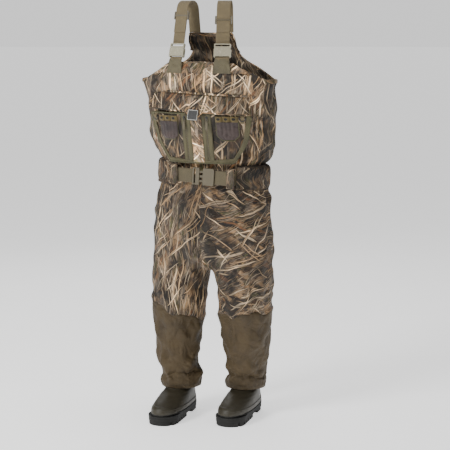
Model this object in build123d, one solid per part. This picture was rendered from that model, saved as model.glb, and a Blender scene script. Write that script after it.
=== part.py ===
from build123d import *
import os
from math import asin, acos, atan2, cos, degrees, hypot, radians, sin, sqrt

# Chest waders with a bib, built-in lug-sole boots, two suspenders and a webbing belt.
# Millimetres. X points to the wearer's left, -Y is the front, Z is up, the ground is Z = 0.

# ---- driving dimensions ------------------------------------------------------------
TOP_Z = 1495.0             # top of the shoulder webbing
YOKE_Z = 1382.0            # top edge of the back panel
BIB_TOP_Z = 1278.0         # top edge of the front panel
ARMPIT_Z = 1220.0          # upper corners of the sides
WAIST_Z = 925.0            # waist seam
CROTCH_Z = 560.0           # bottom of the seat
KNEE_Z = 407.0             # seam between the upper and the lower leg
CUFF_TOP_Z = 150.0         # seam between the lower leg and its cuff
CUFF_Z = 104.0             # free edge of the cuff

WALL = 5.0                 # shell fabric with its insulation
LINING_WALL = 1.5
LINING_GAP = 1.5
STRIDE = 40.0              # at the ground the right leg stands this far forward, the left one back
LEG_X = 115.0              # half the distance between the legs
BIB_TOP_ANGLE = 30.0       # half angle of the front panel's top edge
HEM_PROUD = 3.0
SIDE_ANGLE = 65.0          # the side seams lie this far each side of the front, and of the back
BOX_CENTRE_Y = -36.857     # depth half way between the right toe and the back belt loop

WEBBING_WIDTH = 48.0       # suspender webbing
WEBBING_THICK = 2.0
BELT_WIDTH = 50.0
BELT_THICK = 2.5
BUCKLE_TRAVEL = 30.0       # pull that frees a side-release buckle

FLAP_TILT = 3.0            # the chest flap and belt hang a little lower on the left side
FLAP_TOP_Z = 1170.0
FLAP_BOTTOM_Z = 1112.0
FLAP_ANGLE = 47.0
FLAP_WALL = 3.0
FLAP_CLEAR = 7.5           # from the pocket's face to the outside of the flap's free edge
PATCH_ANGLE = 3.2
PATCH_HEIGHT = 32.0

POUCH_BOTTOM_Z = 930.0
POUCH_TOP_Z = 1108.0
POUCH_ANGLE = 48.0
POUCH_WALL = 2.5
GUSSET_WALL = 2.5

ZIP_X = 38.0
ZIP_TAPE_WIDTH = 32.0
ZIP_BOTTOM_Z = 944.0
ZIP_TOP_Z = 1100.0
PIN_LIFT = 6.2             # the zip pull's pin stands this far above the pocket's face

# Body rings from the seat to the armpits: height, half width, half depth, centre depth.
TORSO = [
    (CROTCH_Z, 231, 126, 0),
    (650, 232, 146, 0),
    (740, 230, 149, 4),
    (822, 220, 139, 10),
    (862, 208, 129, 20),
    (WAIST_Z, 197, 123, 32),
    (965, 203, 124, 29),
    (1010, 218, 127, 12),
    (1060, 227, 129, 0),
    (1130, 230, 127, -5),
    (1180, 236, 123, -13),
    (ARMPIT_Z, 248, 112, -24),
]

# Rings of the back yoke above the armpits, each with the angle it reaches each side of the back.
YOKE = [
    (TORSO[-1], 65),
    ((1262, 220, 95, -21), 43),
    ((1305, 190, 74, -20), 27),
    ((YOKE_Z, 164, 32, -37), 30),
]

# Leg rings from the seat down: height, half width, half depth, centre depth.
LEG = [
    (CROTCH_Z - 6, 114, 116, 0),
    (500, 106, 112, -5),
    (KNEE_Z, 99, 106, -9),
    (330, 91, 99, -7),
    (250, 82, 94, 4),
    (CUFF_TOP_Z, 80, 91, 14),
    (CUFF_Z, 78, 90, 16),
]


def save(node, *shapes):
    """Write one node, moved so that the object's box is centred on the Z axis."""
    solids = []
    for shape in shapes:
        solids += shape.solids()
    export_step(Pos(0, -BOX_CENTRE_Y, 0) * Compound(solids), f"parts/{node}.step")


def between(rings, z):
    """Ring at a height, in a straight line between the two rings beside it."""
    ordered = sorted(rings)
    for low, high in zip(ordered, ordered[1:]):
        if low[0] <= z <= high[0]:
            share = (z - low[0]) / (high[0] - low[0])
            return tuple(a + share * (b - a) for a, b in zip(low, high))
    raise ValueError(f"no ring at {z}")


def ellipse_arc(x, y, half_x, half_y, start, end):
    return EllipticalCenterArc((x, y), half_x, half_y, start % 360, arc_size=end - start)


def face_between(outer, inner):
    """Flat face between two arcs, closed by a line at each end."""
    return make_face([outer, inner, Line(outer @ 0, inner @ 0), Line(outer @ 1, inner @ 1)])


def band_face(ring, start, end, grow, wall, x=0.0):
    """Flat slice of a wall that follows an ellipse from one angle to another."""
    z, half_x, half_y, y = ring
    outer = ellipse_arc(x, y, half_x + grow, half_y + grow, start, end)
    inner = ellipse_arc(x, y, half_x + grow - wall, half_y + grow - wall, start, end)
    return Pos(0, 0, z) * face_between(outer, inner)


def band(rings, start, end, grow=0.0, wall=WALL, x=0.0):
    """Curved wall panel through several rings, between two angles."""
    return loft([band_face(ring, start, end, grow, wall, x) for ring in rings], ruled=True)


def tapered_band(rings, centre, grow=0.0, wall=WALL):
    """Wall panel whose half angle is given beside each ring."""
    faces = [band_face(ring, centre - half, centre + half, grow, wall) for ring, half in rings]
    return loft(faces, ruled=True)


def rings_between(rings, low, high):
    return [ring for ring in sorted(rings) if low <= ring[0] <= high]


def tilted(shape, z):
    """Shape turned about a level front-to-back line so that its left end hangs lower."""
    return Pos(0, 0, z) * Rot(0, FLAP_TILT, 0) * Pos(0, 0, -z) * shape


# ---- body panels --------------------------------------------------------------------
def trousers():
    rings = rings_between(TORSO, CROTCH_Z, WAIST_Z)
    corners = {"back_left": 0, "back_right": 90, "front_right": 180, "front_left": 270}
    for name, start in corners.items():
        save(f"trouser_{name}", band(rings, start, start + 90))


def crotch_gusset():
    """Plate that closes the seat between the two legs."""
    z, half_x, half_y, y = TORSO[0]
    thick = z - LEG[0][0]
    plate = Pos(0, y, z - thick) * extrude(Ellipse(half_x, half_y), thick)
    for side in (-1, 1):
        leg_x, leg_y = LEG[0][1] - WALL, LEG[0][2] - WALL
        plate -= Pos(side * LEG_X, 0, z - thick) * extrude(Ellipse(leg_x, leg_y), thick)
    save("crotch_gusset", plate)


def bib():
    rings = rings_between(TORSO, WAIST_Z, ARMPIT_Z)
    armpit = TORSO[-1]
    front = band(rings, 270 - SIDE_ANGLE, 270 + SIDE_ANGLE)
    top_ring = (BIB_TOP_Z, 236, 95, -24)
    edge = [(armpit, SIDE_ANGLE), ((1250, 242, 104, -25), 44), (top_ring, BIB_TOP_ANGLE)]
    save("bib_front", front + tapered_band(edge, 270))
    hem_angle = BIB_TOP_ANGLE - 1
    hem = [((1244, 243, 106, -25), hem_angle), ((BIB_TOP_Z + 1, *top_ring[1:]), hem_angle)]
    save("bib_hem", tapered_band(hem, 270, HEM_PROUD, 2.0) - bib_tab(1) - bib_tab(-1))
    save("bib_side_left", band(rings, 270 + SIDE_ANGLE, 360 + 90 - SIDE_ANGLE))
    save("bib_side_right", band(rings, 90 + SIDE_ANGLE, 270 - SIDE_ANGLE))
    save("back_panel", band(rings, 90 - SIDE_ANGLE, 90 + SIDE_ANGLE))
    save("back_yoke", tapered_band(YOKE, 90))


def lining():
    """Thin lining inside the body, in a front and a back half."""
    rings = rings_between(TORSO, CROTCH_Z, ARMPIT_Z)
    grow = -WALL - LINING_GAP
    save("lining_front", band(rings, 180, 360, grow, LINING_WALL))
    save("lining_back", band(rings, 0, 180, grow, LINING_WALL))


def stride_at(side, z):
    return side * STRIDE * (1 - z / CROTCH_Z)


def legs():
    for side, name in ((1, "left"), (-1, "right")):
        save(f"thigh_{name}", *leg_tube(side, KNEE_Z, CROTCH_Z))
        save(f"shin_{name}", *leg_tube(side, CUFF_TOP_Z, KNEE_Z))
    cuff_proud = 2
    save("cuffs", *[half for side in (1, -1) for half in leg_tube(side, CUFF_Z, CUFF_TOP_Z, cuff_proud)])


def leg_tube(side, low, high, grow=0.0):
    """Front and back half of one leg between two heights."""
    rings = []
    for z, half_x, half_y, y in rings_between(LEG, low, high):
        rings.append((z, half_x, half_y, y + stride_at(side, z)))
    return [band(rings, start, start + 180, grow, x=side * LEG_X) for start in (0, 180)]


# ---- boots --------------------------------------------------------------------------
SOLE_HEEL_R = 39.0
SOLE_TOE_R = 54.0
SOLE_HEEL_Y = 62.0
SOLE_TOE_Y = -146.0
LUG_HEIGHT = 13.0
OUTSOLE_TOP = 26.0
MIDSOLE_TOP = 33.0
UPPER_WALL = 4.0
LUG_PITCH = 26.0
GROOVE_WIDTH = 7.0
LONG_GROOVE_WIDTH = 8.0
ARCH_Y = -8.0              # middle of the arch, which has no lugs
ARCH_LENGTH = 62.0
INSOLE_THICK = 4.0
# Upper of one boot, from the sole to the top of the shaft: height, half width, half depth, centre.
BOOT = [
    (MIDSOLE_TOP, 53, 148, -48),
    (62, 50, 140, -44),
    (84, 47, 108, -18),
    (102, 44, 74, 9),
    (135, 43, 60, 16),
    (200, 49, 57, 8),
]


def foot_outline(grow=0.0):
    """Outline of the sole, round at the heel and the toe with straight sides between."""
    heel = Pos(0, SOLE_HEEL_Y) * Circle(SOLE_HEEL_R + grow)
    toe = Pos(0, SOLE_TOE_Y) * Circle(SOLE_TOE_R + grow)
    return make_hull(heel.edges() + toe.edges())


def outsole():
    """Rubber sole with cross grooves, an arch without lugs and a separate heel block."""
    plate = Pos(0, 0, LUG_HEIGHT) * extrude(foot_outline(), OUTSOLE_TOP - LUG_HEIGHT)
    tread = extrude(foot_outline(-1.5), LUG_HEIGHT)
    across, deep = 2.2 * SOLE_TOE_R, 2 * LUG_HEIGHT
    tread -= Pos(0, ARCH_Y, 0) * Box(across, ARCH_LENGTH, deep)
    first_row = SOLE_TOE_Y - 30
    for row in range(6):
        tread -= Pos(0, first_row + row * LUG_PITCH, 0) * Box(across, GROOVE_WIDTH, deep)
    tread -= Pos(0, SOLE_HEEL_Y, 0) * Box(across, LONG_GROOVE_WIDTH, deep)
    tread -= Pos(0, SOLE_TOE_Y + 36, 0) * Box(LONG_GROOVE_WIDTH, 140, deep)
    return plate + tread


def boots():
    upper = loft([Pos(0, y, z) * Ellipse(a, b) for z, a, b, y in BOOT])
    inner = [(z, a - UPPER_WALL, b - UPPER_WALL, y) for z, a, b, y in BOOT]
    first, last = inner[0], inner[-1]
    inner = [(first[0] - 1,) + first[1:]] + inner[1:-1] + [(last[0] + 1,) + last[1:]]
    upper -= loft([Pos(0, y, z) * Ellipse(a, b) for z, a, b, y in inner])
    midsole = Pos(0, 0, OUTSOLE_TOP) * extrude(foot_outline(1.0), MIDSOLE_TOP - OUTSOLE_TOP)
    z, half_x, half_y, y = BOOT[0]
    inset = UPPER_WALL + 5
    insole = Pos(0, y, z) * extrude(Ellipse(half_x - inset, half_y - inset), INSOLE_THICK)
    counter = band(BOOT[:2], 45, 135, 3.3, 3.0)
    ankle_z = 60
    places = {"left": Pos(LEG_X, stride_at(1, ankle_z), 0), "right": Pos(-LEG_X, stride_at(-1, ankle_z), 0)}
    sole = outsole()
    for name, place in places.items():
        save(f"outsole_{name}", place * sole)
        save(f"boot_upper_{name}", place * upper)
    pairs = {"midsoles": midsole, "insoles": insole, "heel_counters": counter}
    for name, shape in pairs.items():
        save(name, *[place * shape for place in places.values()])


# ---- chest pocket -------------------------------------------------------------------
# Rings of the pocket's outer face: height, half width, half depth, centre depth.
POUCH = [(POUCH_BOTTOM_Z, 216, 148, 32), (1135, 256, 162, -5)]


def pouch_ring(z):
    """Outer face of the bellows pocket, straight from its bottom to its top."""
    return between(POUCH, z)


def pouch_point(x, z, grow=0.0):
    """Depth of the pocket's outer face at a width and a height."""
    _, half_x, half_y, y = pouch_ring(z)
    return y - (half_y + grow) * sqrt(1 - (x / (half_x + grow)) ** 2)


def pouch_angle(x):
    """Angle from the front at which a width is reached on the pocket, half way up."""
    return degrees(asin(x / (pouch_ring(1020)[1] + 4)))


def pouch():
    low, high = pouch_ring(POUCH_BOTTOM_Z), pouch_ring(POUCH_TOP_Z)
    shape = band([low, high], 270 - POUCH_ANGLE, 270 + POUCH_ANGLE, 0, POUCH_WALL)
    torso_low = between(TORSO, POUCH_BOTTOM_Z)
    save("pocket_face", shape)
    floor_face = gap_face(POUCH_BOTTOM_Z, torso_low, low)
    save("pocket_gussets", extrude(floor_face, -GUSSET_WALL), pouch_side(1), pouch_side(-1))


def gap_face(z, inner_ring, outer_ring):
    """Flat face between the body and the pocket at one height."""
    start, end = 270 - POUCH_ANGLE, 270 + POUCH_ANGLE
    inner = ellipse_arc(0, inner_ring[3], inner_ring[1] + 1, inner_ring[2] + 1, start, end)
    outer = ellipse_arc(0, outer_ring[3], outer_ring[1], outer_ring[2], start, end)
    return Pos(0, 0, z) * face_between(outer, inner)


def pouch_side(side):
    """Bellows that joins one edge of the pocket's face to the body."""
    angle = 270 + side * (POUCH_ANGLE - 0.2)
    faces = []
    heights = [ring[0] for ring in rings_between(TORSO, POUCH_BOTTOM_Z, POUCH_TOP_Z)]
    for z in (POUCH_BOTTOM_Z, *heights, POUCH_TOP_Z):
        body, face = between(TORSO, z), pouch_ring(z)
        corners = []
        for ring, grow in ((body, 1.5), (face, -POUCH_WALL - 0.3)):
            for shift in (0.0, -side * GUSSET_WALL):
                x = (ring[1] + grow) * cos(radians(angle)) + shift
                y = ring[3] + (ring[2] + grow) * sin(radians(angle))
                corners.append((x, y))
        a, b, c, d = corners
        faces.append(Pos(0, 0, z) * make_face(Polyline(a, b, d, c, close=True)))
    return loft(faces, ruled=True)


def flap_hinge():
    return between(TORSO, FLAP_TOP_Z)


def flap():
    """Chest flap that hangs from its top seam over the pocket's mouth."""
    z, half_x, half_y, y = flap_hinge()
    top = (FLAP_TOP_Z, half_x + 6, half_y + 6, y)
    pocket = pouch_ring(FLAP_BOTTOM_Z)
    bottom = (FLAP_BOTTOM_Z, pocket[1] + FLAP_CLEAR, pocket[2] + FLAP_CLEAR, pocket[3])
    shape = band([bottom, top], 270 - FLAP_ANGLE, 270 + FLAP_ANGLE, 0, FLAP_WALL)
    save("chest_flap", tilted(shape, FLAP_TOP_Z))
    patch_low = FLAP_BOTTOM_Z + 4
    patch_rings = [
        (patch_low, *bottom[1:]),
        (patch_low + PATCH_HEIGHT, *between([bottom, top], patch_low + PATCH_HEIGHT - 2)[1:]),
    ]
    patch = band(patch_rings, 270 - PATCH_ANGLE, 270 + PATCH_ANGLE, 2.0, 1.6)
    save("flap_patch", tilted(patch, FLAP_TOP_Z))
    seam_ring = (half_x + 6.5, half_y + 6.5, y)
    seam_rings = [(FLAP_TOP_Z + 2, *seam_ring), (FLAP_TOP_Z + 9, *seam_ring)]
    strip = band(seam_rings, 270 - FLAP_ANGLE, 270 + FLAP_ANGLE, 0, 2)
    save("flap_seam", tilted(strip, FLAP_TOP_Z))


def zip_plane(side):
    """Plane on the pocket's face along one zip: x across, y up the zip, z outward."""
    low = Vector(side * ZIP_X, pouch_point(ZIP_X, ZIP_BOTTOM_Z), ZIP_BOTTOM_Z)
    high = Vector(side * ZIP_X, pouch_point(ZIP_X, ZIP_TOP_Z), ZIP_TOP_Z)
    along = (high - low).normalized()
    lean = degrees(atan2(ZIP_X / pouch_ring(1020)[1], 1)) * 0.62
    across = Vector(cos(radians(lean)), side * sin(radians(lean)), 0)
    return Plane(origin=low, x_dir=across, z_dir=across.cross(along)), (high - low).length


def zips():
    tapes = []
    lift = 1.2
    for side, name in ((1, "left"), (-1, "right")):
        plane, length = zip_plane(side)
        for edge in (-1, 1):
            middle = edge * (ZIP_TAPE_WIDTH / 4 + 1)
            tape = Box(ZIP_TAPE_WIDTH / 2 - 2, length, 1.2)
            tapes.append(plane * Pos(middle, length / 2, lift) * tape)
        tapes.append(plane * Pos(0, length / 2, lift) * Box(3.4, length, 1.6))
        place = plane * Pos(0, length - 9, PIN_LIFT)
        lean = degrees(asin(-plane.y_dir.Y))
        save(f"zip_slider_{name}", place * zip_slider())
        save(f"zip_pull_{name}", place * Rot(-lean, 0, 0) * zip_pull())
    save("zip_tapes", *tapes)


def zip_slider():
    """Slider body: a plate over the coil with a bridge that holds the pull's pin."""
    plate = Pos(0, 0, -2.6) * Box(9, 13, 1.4)
    bridge = Box(2.4, 9, 4.6)
    hole = Rot(0, 90, 0) * Cylinder(1.4, 10)
    return plate + bridge - hole


def zip_pull():
    """Cord pull that hangs from the slider's bridge on a small pin."""
    pull = Rot(0, 90, 0) * Cylinder(1.0, 7)
    for edge in (-1, 1):
        pull += Pos(edge * 2.75, -7, 0) * Box(1.5, 15, 2.0)
    tag = Pos(0, -26, 0) * Box(8, 26, 2.4)
    return pull + fillet(tag.edges().filter_by(Axis.Z), 2.5)


SHELL_INNER_X = 72.0
SHELL_OUTER_X = 146.0


def shell_pockets():
    """Two small pockets with elastic loops, on the face of the large pocket."""
    inner_angle, outer_angle = pouch_angle(SHELL_INNER_X), pouch_angle(SHELL_OUTER_X)
    bags, bands = [], []
    for side in (1, -1):
        start = 270 + inner_angle if side > 0 else 270 - outer_angle
        end = start + outer_angle - inner_angle
        bag = band([pouch_ring(1012), pouch_ring(1076)], start, end, 9.0, 8.5)
        bags.append(bag)
        bands.append(band([pouch_ring(1078), pouch_ring(1098)], start, end, 4.5, 3.5))
    save("shell_pockets", *bags)
    save("shell_loops", *bands)


RING_X = 162.0
RING_Z = 1093.0
RING_R = 12.0
RING_WIRE_R = 1.5
RING_TURN = 24.0           # the pocket's face is turned this far from the front at the ring


def d_ring_plane(side):
    """Plane at one accessory ring: x across the hinge, y up, z outward."""
    across = Vector(cos(radians(RING_TURN)), side * sin(radians(RING_TURN)), 0)
    origin = Vector(side * RING_X, pouch_point(RING_X, RING_Z, 7.0), RING_Z)
    return Plane(origin=origin, x_dir=across, z_dir=across.cross(Vector(0, 0, 1)))


def d_rings():
    tabs = []
    for side, name in ((1, "left"), (-1, "right")):
        plane = d_ring_plane(side)
        tab = Box(12, 10, 7) - Rot(0, 90, 0) * Cylinder(2.0, 20)
        ring = Rot(0, 90, 0) * Cylinder(RING_WIRE_R, 2 * RING_R)
        bow = Torus(RING_R, RING_WIRE_R)
        bow -= Pos(0, 20, 0) * Box(40, 40, 10)
        ring += bow
        tabs.append(plane * tab)
        save(f"d_ring_{name}", plane * ring)
    save("d_ring_tabs", *tabs)


# ---- suspenders ---------------------------------------------------------------------
STRAP_FOOT = (86.0, -122.0, 1285.0)
STRAP_BACK = (60.0, -8.0, YOKE_Z + 2)
SHOULDER_R = 34.0
MALE_LOW = 46.0            # distance of the upper buckle half above the strap's foot
BUCKLE_ROOM = WEBBING_WIDTH + 2
ADJUSTER_Z = {"left": 1428.0, "right": 1443.0}


def strap_run():
    """Angle and length of the webbing's straight front run, and of its back run."""
    span = hypot(STRAP_BACK[0] - STRAP_FOOT[0], STRAP_BACK[1] - STRAP_FOOT[1])
    centre = (0.62 * span, TOP_Z - WEBBING_THICK / 2 - SHOULDER_R)
    runs = []
    for foot, sign in (((0, STRAP_FOOT[2]), 1), ((span, STRAP_BACK[2]), -1)):
        dx, dz = centre[0] - foot[0], centre[1] - foot[1]
        reach = hypot(dx, dz)
        angle = degrees(atan2(dz, dx)) + sign * degrees(asin(SHOULDER_R / reach))
        runs.append((angle, sqrt(reach ** 2 - SHOULDER_R ** 2)))
    return span, centre, runs


def strap_plane(side):
    """Vertical plane of one strap: x from the foot towards the back, y up."""
    foot = Vector(side * STRAP_FOOT[0], STRAP_FOOT[1], 0)
    back = Vector(side * STRAP_BACK[0], STRAP_BACK[1], 0)
    x_dir = (back - foot).normalized()
    return Plane(origin=foot, x_dir=x_dir, z_dir=x_dir.cross(Vector(0, 0, 1)))


def front_plane(side):
    """Plane along the front run: x across the webbing, y up along it, z outward."""
    upright = strap_plane(side)
    _, _, runs = strap_run()
    angle = radians(runs[0][0])
    along = upright.x_dir * cos(angle) + Vector(0, 0, 1) * sin(angle)
    origin = upright.origin + Vector(0, 0, STRAP_FOOT[2])
    x_dir = -upright.z_dir
    return Plane(origin=origin, x_dir=x_dir, z_dir=x_dir.cross(along))


def shoulder_webbing(side):
    """Webbing from the front adjuster over the shoulder to the back yoke."""
    span, centre, runs = strap_run()
    (front_angle, front_length), (back_angle, back_length) = runs
    up = Vector(cos(radians(front_angle)), sin(radians(front_angle)))
    low = Vector(0, STRAP_FOOT[2]) + up * (MALE_LOW + BUCKLE_TRAVEL + 26)
    high = Vector(0, STRAP_FOOT[2]) + up * front_length
    back = Vector(cos(radians(back_angle)), sin(radians(back_angle)))
    rear_low = Vector(span, STRAP_BACK[2])
    rear_high = rear_low + back * back_length
    arc = CenterArc(centre, SHOULDER_R, back_angle - 90, front_angle + 90 - (back_angle - 90))
    path = [Line(low, high), arc, Line(rear_high, rear_low)]
    profile = trace(path, WEBBING_THICK)
    return extrude(strap_plane(side) * profile, WEBBING_WIDTH / 2, both=True)


def female_buckle():
    """Lower buckle half: a flat box, open at its top and in both edges, with a webbing bar."""
    length, thick, room_height = 33, 12, 6.5
    body = Box(WEBBING_WIDTH + 12, length, thick)
    body = fillet(body.edges().filter_by(Axis.Z), 5)
    body = Pos(0, 30, 0) * body
    body -= Pos(0, 32, 0) * Box(BUCKLE_ROOM, 30, room_height)
    for edge in (-1, 1):
        body -= Pos(edge * (WEBBING_WIDTH / 2 + 5), 31, 0) * Box(12, 13, room_height)
    webbing_slot = Pos(0, 16, 0) * Box(BUCKLE_ROOM, 5, thick + 2)
    return body - webbing_slot


def male_buckle():
    """Upper buckle half: a bar block with two prongs and a middle guide."""
    block = Pos(0, MALE_LOW + 8.5, 0) * fillet(Box(WEBBING_WIDTH + 10, 16, 9).edges().filter_by(Axis.Z), 3)
    block -= Pos(0, MALE_LOW + 10, 0) * Box(BUCKLE_ROOM, 6, 12)
    block += Pos(0, MALE_LOW - 10, 0) * Box(6, 22, 4)
    for edge in (-1, 1):
        block += Pos(edge * (WEBBING_WIDTH / 2 - 5), MALE_LOW - 8, 0) * Box(5, 18, 5)
        block += Pos(edge * (WEBBING_WIDTH / 2 - 3), MALE_LOW - 14, 0) * Box(6, 8, 5)
    return block


def adjuster():
    """Three-bar slide: two outer bars before the webbing, the middle bar behind it."""
    frame = Box(WEBBING_WIDTH + 10, 28, 2.6) - Box(WEBBING_WIDTH + 2.5, 22, 6)
    frame = Pos(0, 0, 5.2) * frame
    for edge in (-1, 1):
        frame += Pos(edge * (WEBBING_WIDTH / 2 + 3.2), 0, 2) * Box(3.4, 27, 9)
    frame += Pos(0, 0, -2.4) * Box(WEBBING_WIDTH + 8, 5, 1.2)
    return frame


def suspenders():
    webbing_gap = 0.6
    for side, name in ((1, "left"), (-1, "right")):
        plane = front_plane(side)
        tilt = radians(90 - strap_run()[2][0][0])
        height = (ADJUSTER_Z[name] - STRAP_FOOT[2]) / cos(tilt)
        save(f"shoulder_webbing_{name}", shoulder_webbing(side))
        save(f"buckle_socket_{name}", plane * female_buckle())
        save(f"buckle_plug_{name}", plane * male_buckle())
        low = MALE_LOW + 16.8
        offset = WEBBING_THICK + webbing_gap
        layer = Pos(0, (low + height) / 2, offset) * Box(WEBBING_WIDTH, height - low, WEBBING_THICK)
        save(f"strap_front_{name}", plane * layer)
        save(f"adjuster_{name}", plane * Pos(0, height, 0.4) * adjuster())
    save("bib_tabs", bib_tab(1), bib_tab(-1))
    low_ring = between([ring for ring, _ in YOKE], 1346)
    save("yoke_anchor", band([low_ring, YOKE[-1][0]], 62, 118, 4.0, 2.5))


def bib_tab(side):
    """Sewn tab that widens down the bib and holds the lower buckle half."""
    plane = front_plane(side)
    outline = Polyline((-25, 8), (25, 8), (32, -42), (-32, -42), close=True)
    tab = Pos(0, 0, 2.3) * extrude(make_face(outline), 2)
    bend = Pos(0, 9, 1.3) * Box(WEBBING_WIDTH, 7, 3.4)
    return plane * (tab + bend)


# ---- belt ---------------------------------------------------------------------------
BELT_Z = 885.0
BELT_FRONT_Y = -122.0
BELT_RING = (BELT_Z, 216, 134, 20)
LOOP_LEFT_X = 118.0
LOOP_RIGHT_X = 95.0


def belt():
    z, half_x, half_y, y = BELT_RING
    low, high = BELT_Z - BELT_WIDTH / 2, BELT_Z + BELT_WIDTH / 2
    rings = [(low, half_x, half_y, y), (high, half_x, half_y, y)]
    halves = []
    for side, loop_x in ((1, LOOP_LEFT_X), (-1, LOOP_RIGHT_X)):
        reach = degrees(acos(loop_x / half_x))
        start, end = (-reach, 90) if side > 0 else (90, 180 + reach)
        halves.append(tilted(band(rings, start, end, 3, BELT_THICK), BELT_Z))
    save("belt_back", *halves)
    middle = Pos(0, BELT_FRONT_Y, BELT_Z)
    save("belt_front_left", tilted(middle * belt_run(57.3, LOOP_LEFT_X - 6), BELT_Z))
    save("belt_front_right", tilted(middle * belt_run(-LOOP_RIGHT_X + 4, -25.3), BELT_Z))
    flat = Rot(90, 0, 0)
    socket = fillet(Box(42, 60, 13).edges().filter_by(Axis.Z), 6) - Pos(-6, 0, 0) * Box(34, 50, 7)
    for edge in (-1, 1):
        socket -= Pos(2, edge * 29, 0) * Box(16, 14, 7)
    save("belt_socket", tilted(middle * flat * Pos(36, 0, 0) * socket, BELT_Z))
    plug = Pos(-4, 0, 0) * fillet(Box(26, 60, 10).edges().filter_by(Axis.Z), 3)
    plug -= Pos(-8, 0, 0) * Box(6, 51, 14)
    plug += Pos(20, 0, 0) * Box(24, 8, 4)
    for edge in (-1, 1):
        plug += Pos(18, edge * 16, 0) * Box(20, 6, 5)
        plug += Pos(26, edge * 19, 0) * Box(9, 8, 5)
    save("belt_plug", tilted(middle * flat * Pos(-8, 0, 0) * plug, BELT_Z))


def belt_run(low_x, high_x):
    """Straight stretch of belt webbing at the front."""
    return Pos((low_x + high_x) / 2, 0, 0) * Box(high_x - low_x, BELT_THICK, BELT_WIDTH)


def belt_loops():
    """Five fabric loops that hold the belt against the waist."""
    z, half_x, half_y, y = BELT_RING
    height, width, wall = 70, 30, 2.5
    front_depth, other_depth = 22, 7.5
    spots = [(LOOP_LEFT_X, BELT_FRONT_Y, 0, front_depth), (-LOOP_RIGHT_X, BELT_FRONT_Y, 0, front_depth)]
    for angle in (8, 172, 90):
        x = (half_x + 1.5) * cos(radians(angle))
        depth = y + (half_y + 1.5) * sin(radians(angle))
        turn = degrees(atan2(cos(radians(angle)) / half_x, -sin(radians(angle)) / half_y))
        spots.append((x, depth, turn, other_depth))
    room = 10
    loops = []
    for x, depth, turn, leg in spots:
        loop = Pos(0, -room / 2 - wall / 2, 0) * Box(width, wall, height)
        for end in (-1, 1):
            middle = leg / 2 - room / 2 - wall
            loop += Pos(0, middle, end * (height / 2 - wall / 2)) * Box(width, leg, wall)
        drop = -x * sin(radians(FLAP_TILT))
        loops.append(Pos(x, depth, BELT_Z + drop) * Rot(0, 0, turn) * loop)
    save("belt_loops", *loops)


def main():
    os.makedirs("parts", exist_ok=True)
    trousers()
    crotch_gusset()
    bib()
    lining()
    legs()
    boots()
    pouch()
    flap()
    zips()
    shell_pockets()
    d_rings()
    suspenders()
    belt()
    belt_loops()


main()
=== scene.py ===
import math
import bmesh
import bpy
import numpy as np
from mathutils import Matrix, Vector


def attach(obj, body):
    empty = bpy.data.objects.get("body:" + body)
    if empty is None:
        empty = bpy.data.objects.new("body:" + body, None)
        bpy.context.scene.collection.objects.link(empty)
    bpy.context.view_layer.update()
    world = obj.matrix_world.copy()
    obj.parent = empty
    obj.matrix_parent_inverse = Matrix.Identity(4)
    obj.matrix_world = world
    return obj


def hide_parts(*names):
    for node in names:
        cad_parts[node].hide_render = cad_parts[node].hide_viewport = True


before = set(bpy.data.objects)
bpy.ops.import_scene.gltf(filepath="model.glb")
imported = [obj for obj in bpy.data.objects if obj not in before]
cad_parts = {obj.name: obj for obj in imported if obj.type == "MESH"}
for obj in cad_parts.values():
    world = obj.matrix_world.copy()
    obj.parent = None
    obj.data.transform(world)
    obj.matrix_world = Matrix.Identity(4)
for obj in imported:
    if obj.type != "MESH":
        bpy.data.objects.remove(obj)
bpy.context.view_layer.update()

# Chest waders: fabric, webbing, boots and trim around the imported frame. Metres.
# X points to the wearer's left, -Y is the front, Z is up.

ROOT = "waders"
BODY_Y = 0.0369                # depth of the body's centre line
CROTCH_Z = 0.560
LEG_X = 0.115
STRIDE = 0.040

# Body rings: height, half width, half depth, centre depth behind BODY_Y.
TORSO = [
    (0.560, 0.231, 0.128, 0.000), (0.650, 0.232, 0.146, 0.000), (0.740, 0.230, 0.149, 0.004),
    (0.822, 0.218, 0.138, 0.010), (0.862, 0.202, 0.126, 0.020), (0.925, 0.189, 0.121, 0.032),
    (0.965, 0.203, 0.124, 0.029), (1.010, 0.218, 0.127, 0.012), (1.060, 0.227, 0.129, 0.000),
    (1.130, 0.230, 0.127, -0.005), (1.180, 0.236, 0.123, -0.013), (1.220, 0.248, 0.112, -0.024),
]
FRONT_TOP = [(1.220, 0.248, 0.112, -0.024), (1.250, 0.242, 0.104, -0.025), (1.278, 0.236, 0.095, -0.024)]
YOKE = [(1.220, 0.248, 0.112, -0.024), (1.262, 0.220, 0.095, -0.021), (1.305, 0.190, 0.074, -0.020),
        (1.382, 0.164, 0.032, -0.037)]
# Leg rings: height, half width, half depth, centre depth, centre's distance from the middle.
LEG = [
    (0.104, 0.070, 0.082, 0.017, 0.114), (0.150, 0.079, 0.090, 0.014, 0.116),
    (0.250, 0.083, 0.095, 0.004, 0.122), (0.330, 0.090, 0.099, -0.007, 0.125),
    (0.407, 0.097, 0.106, -0.009, 0.126), (0.490, 0.100, 0.111, -0.005, 0.126),
    (0.560, 0.106, 0.117, -0.002, 0.125),
]


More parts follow.
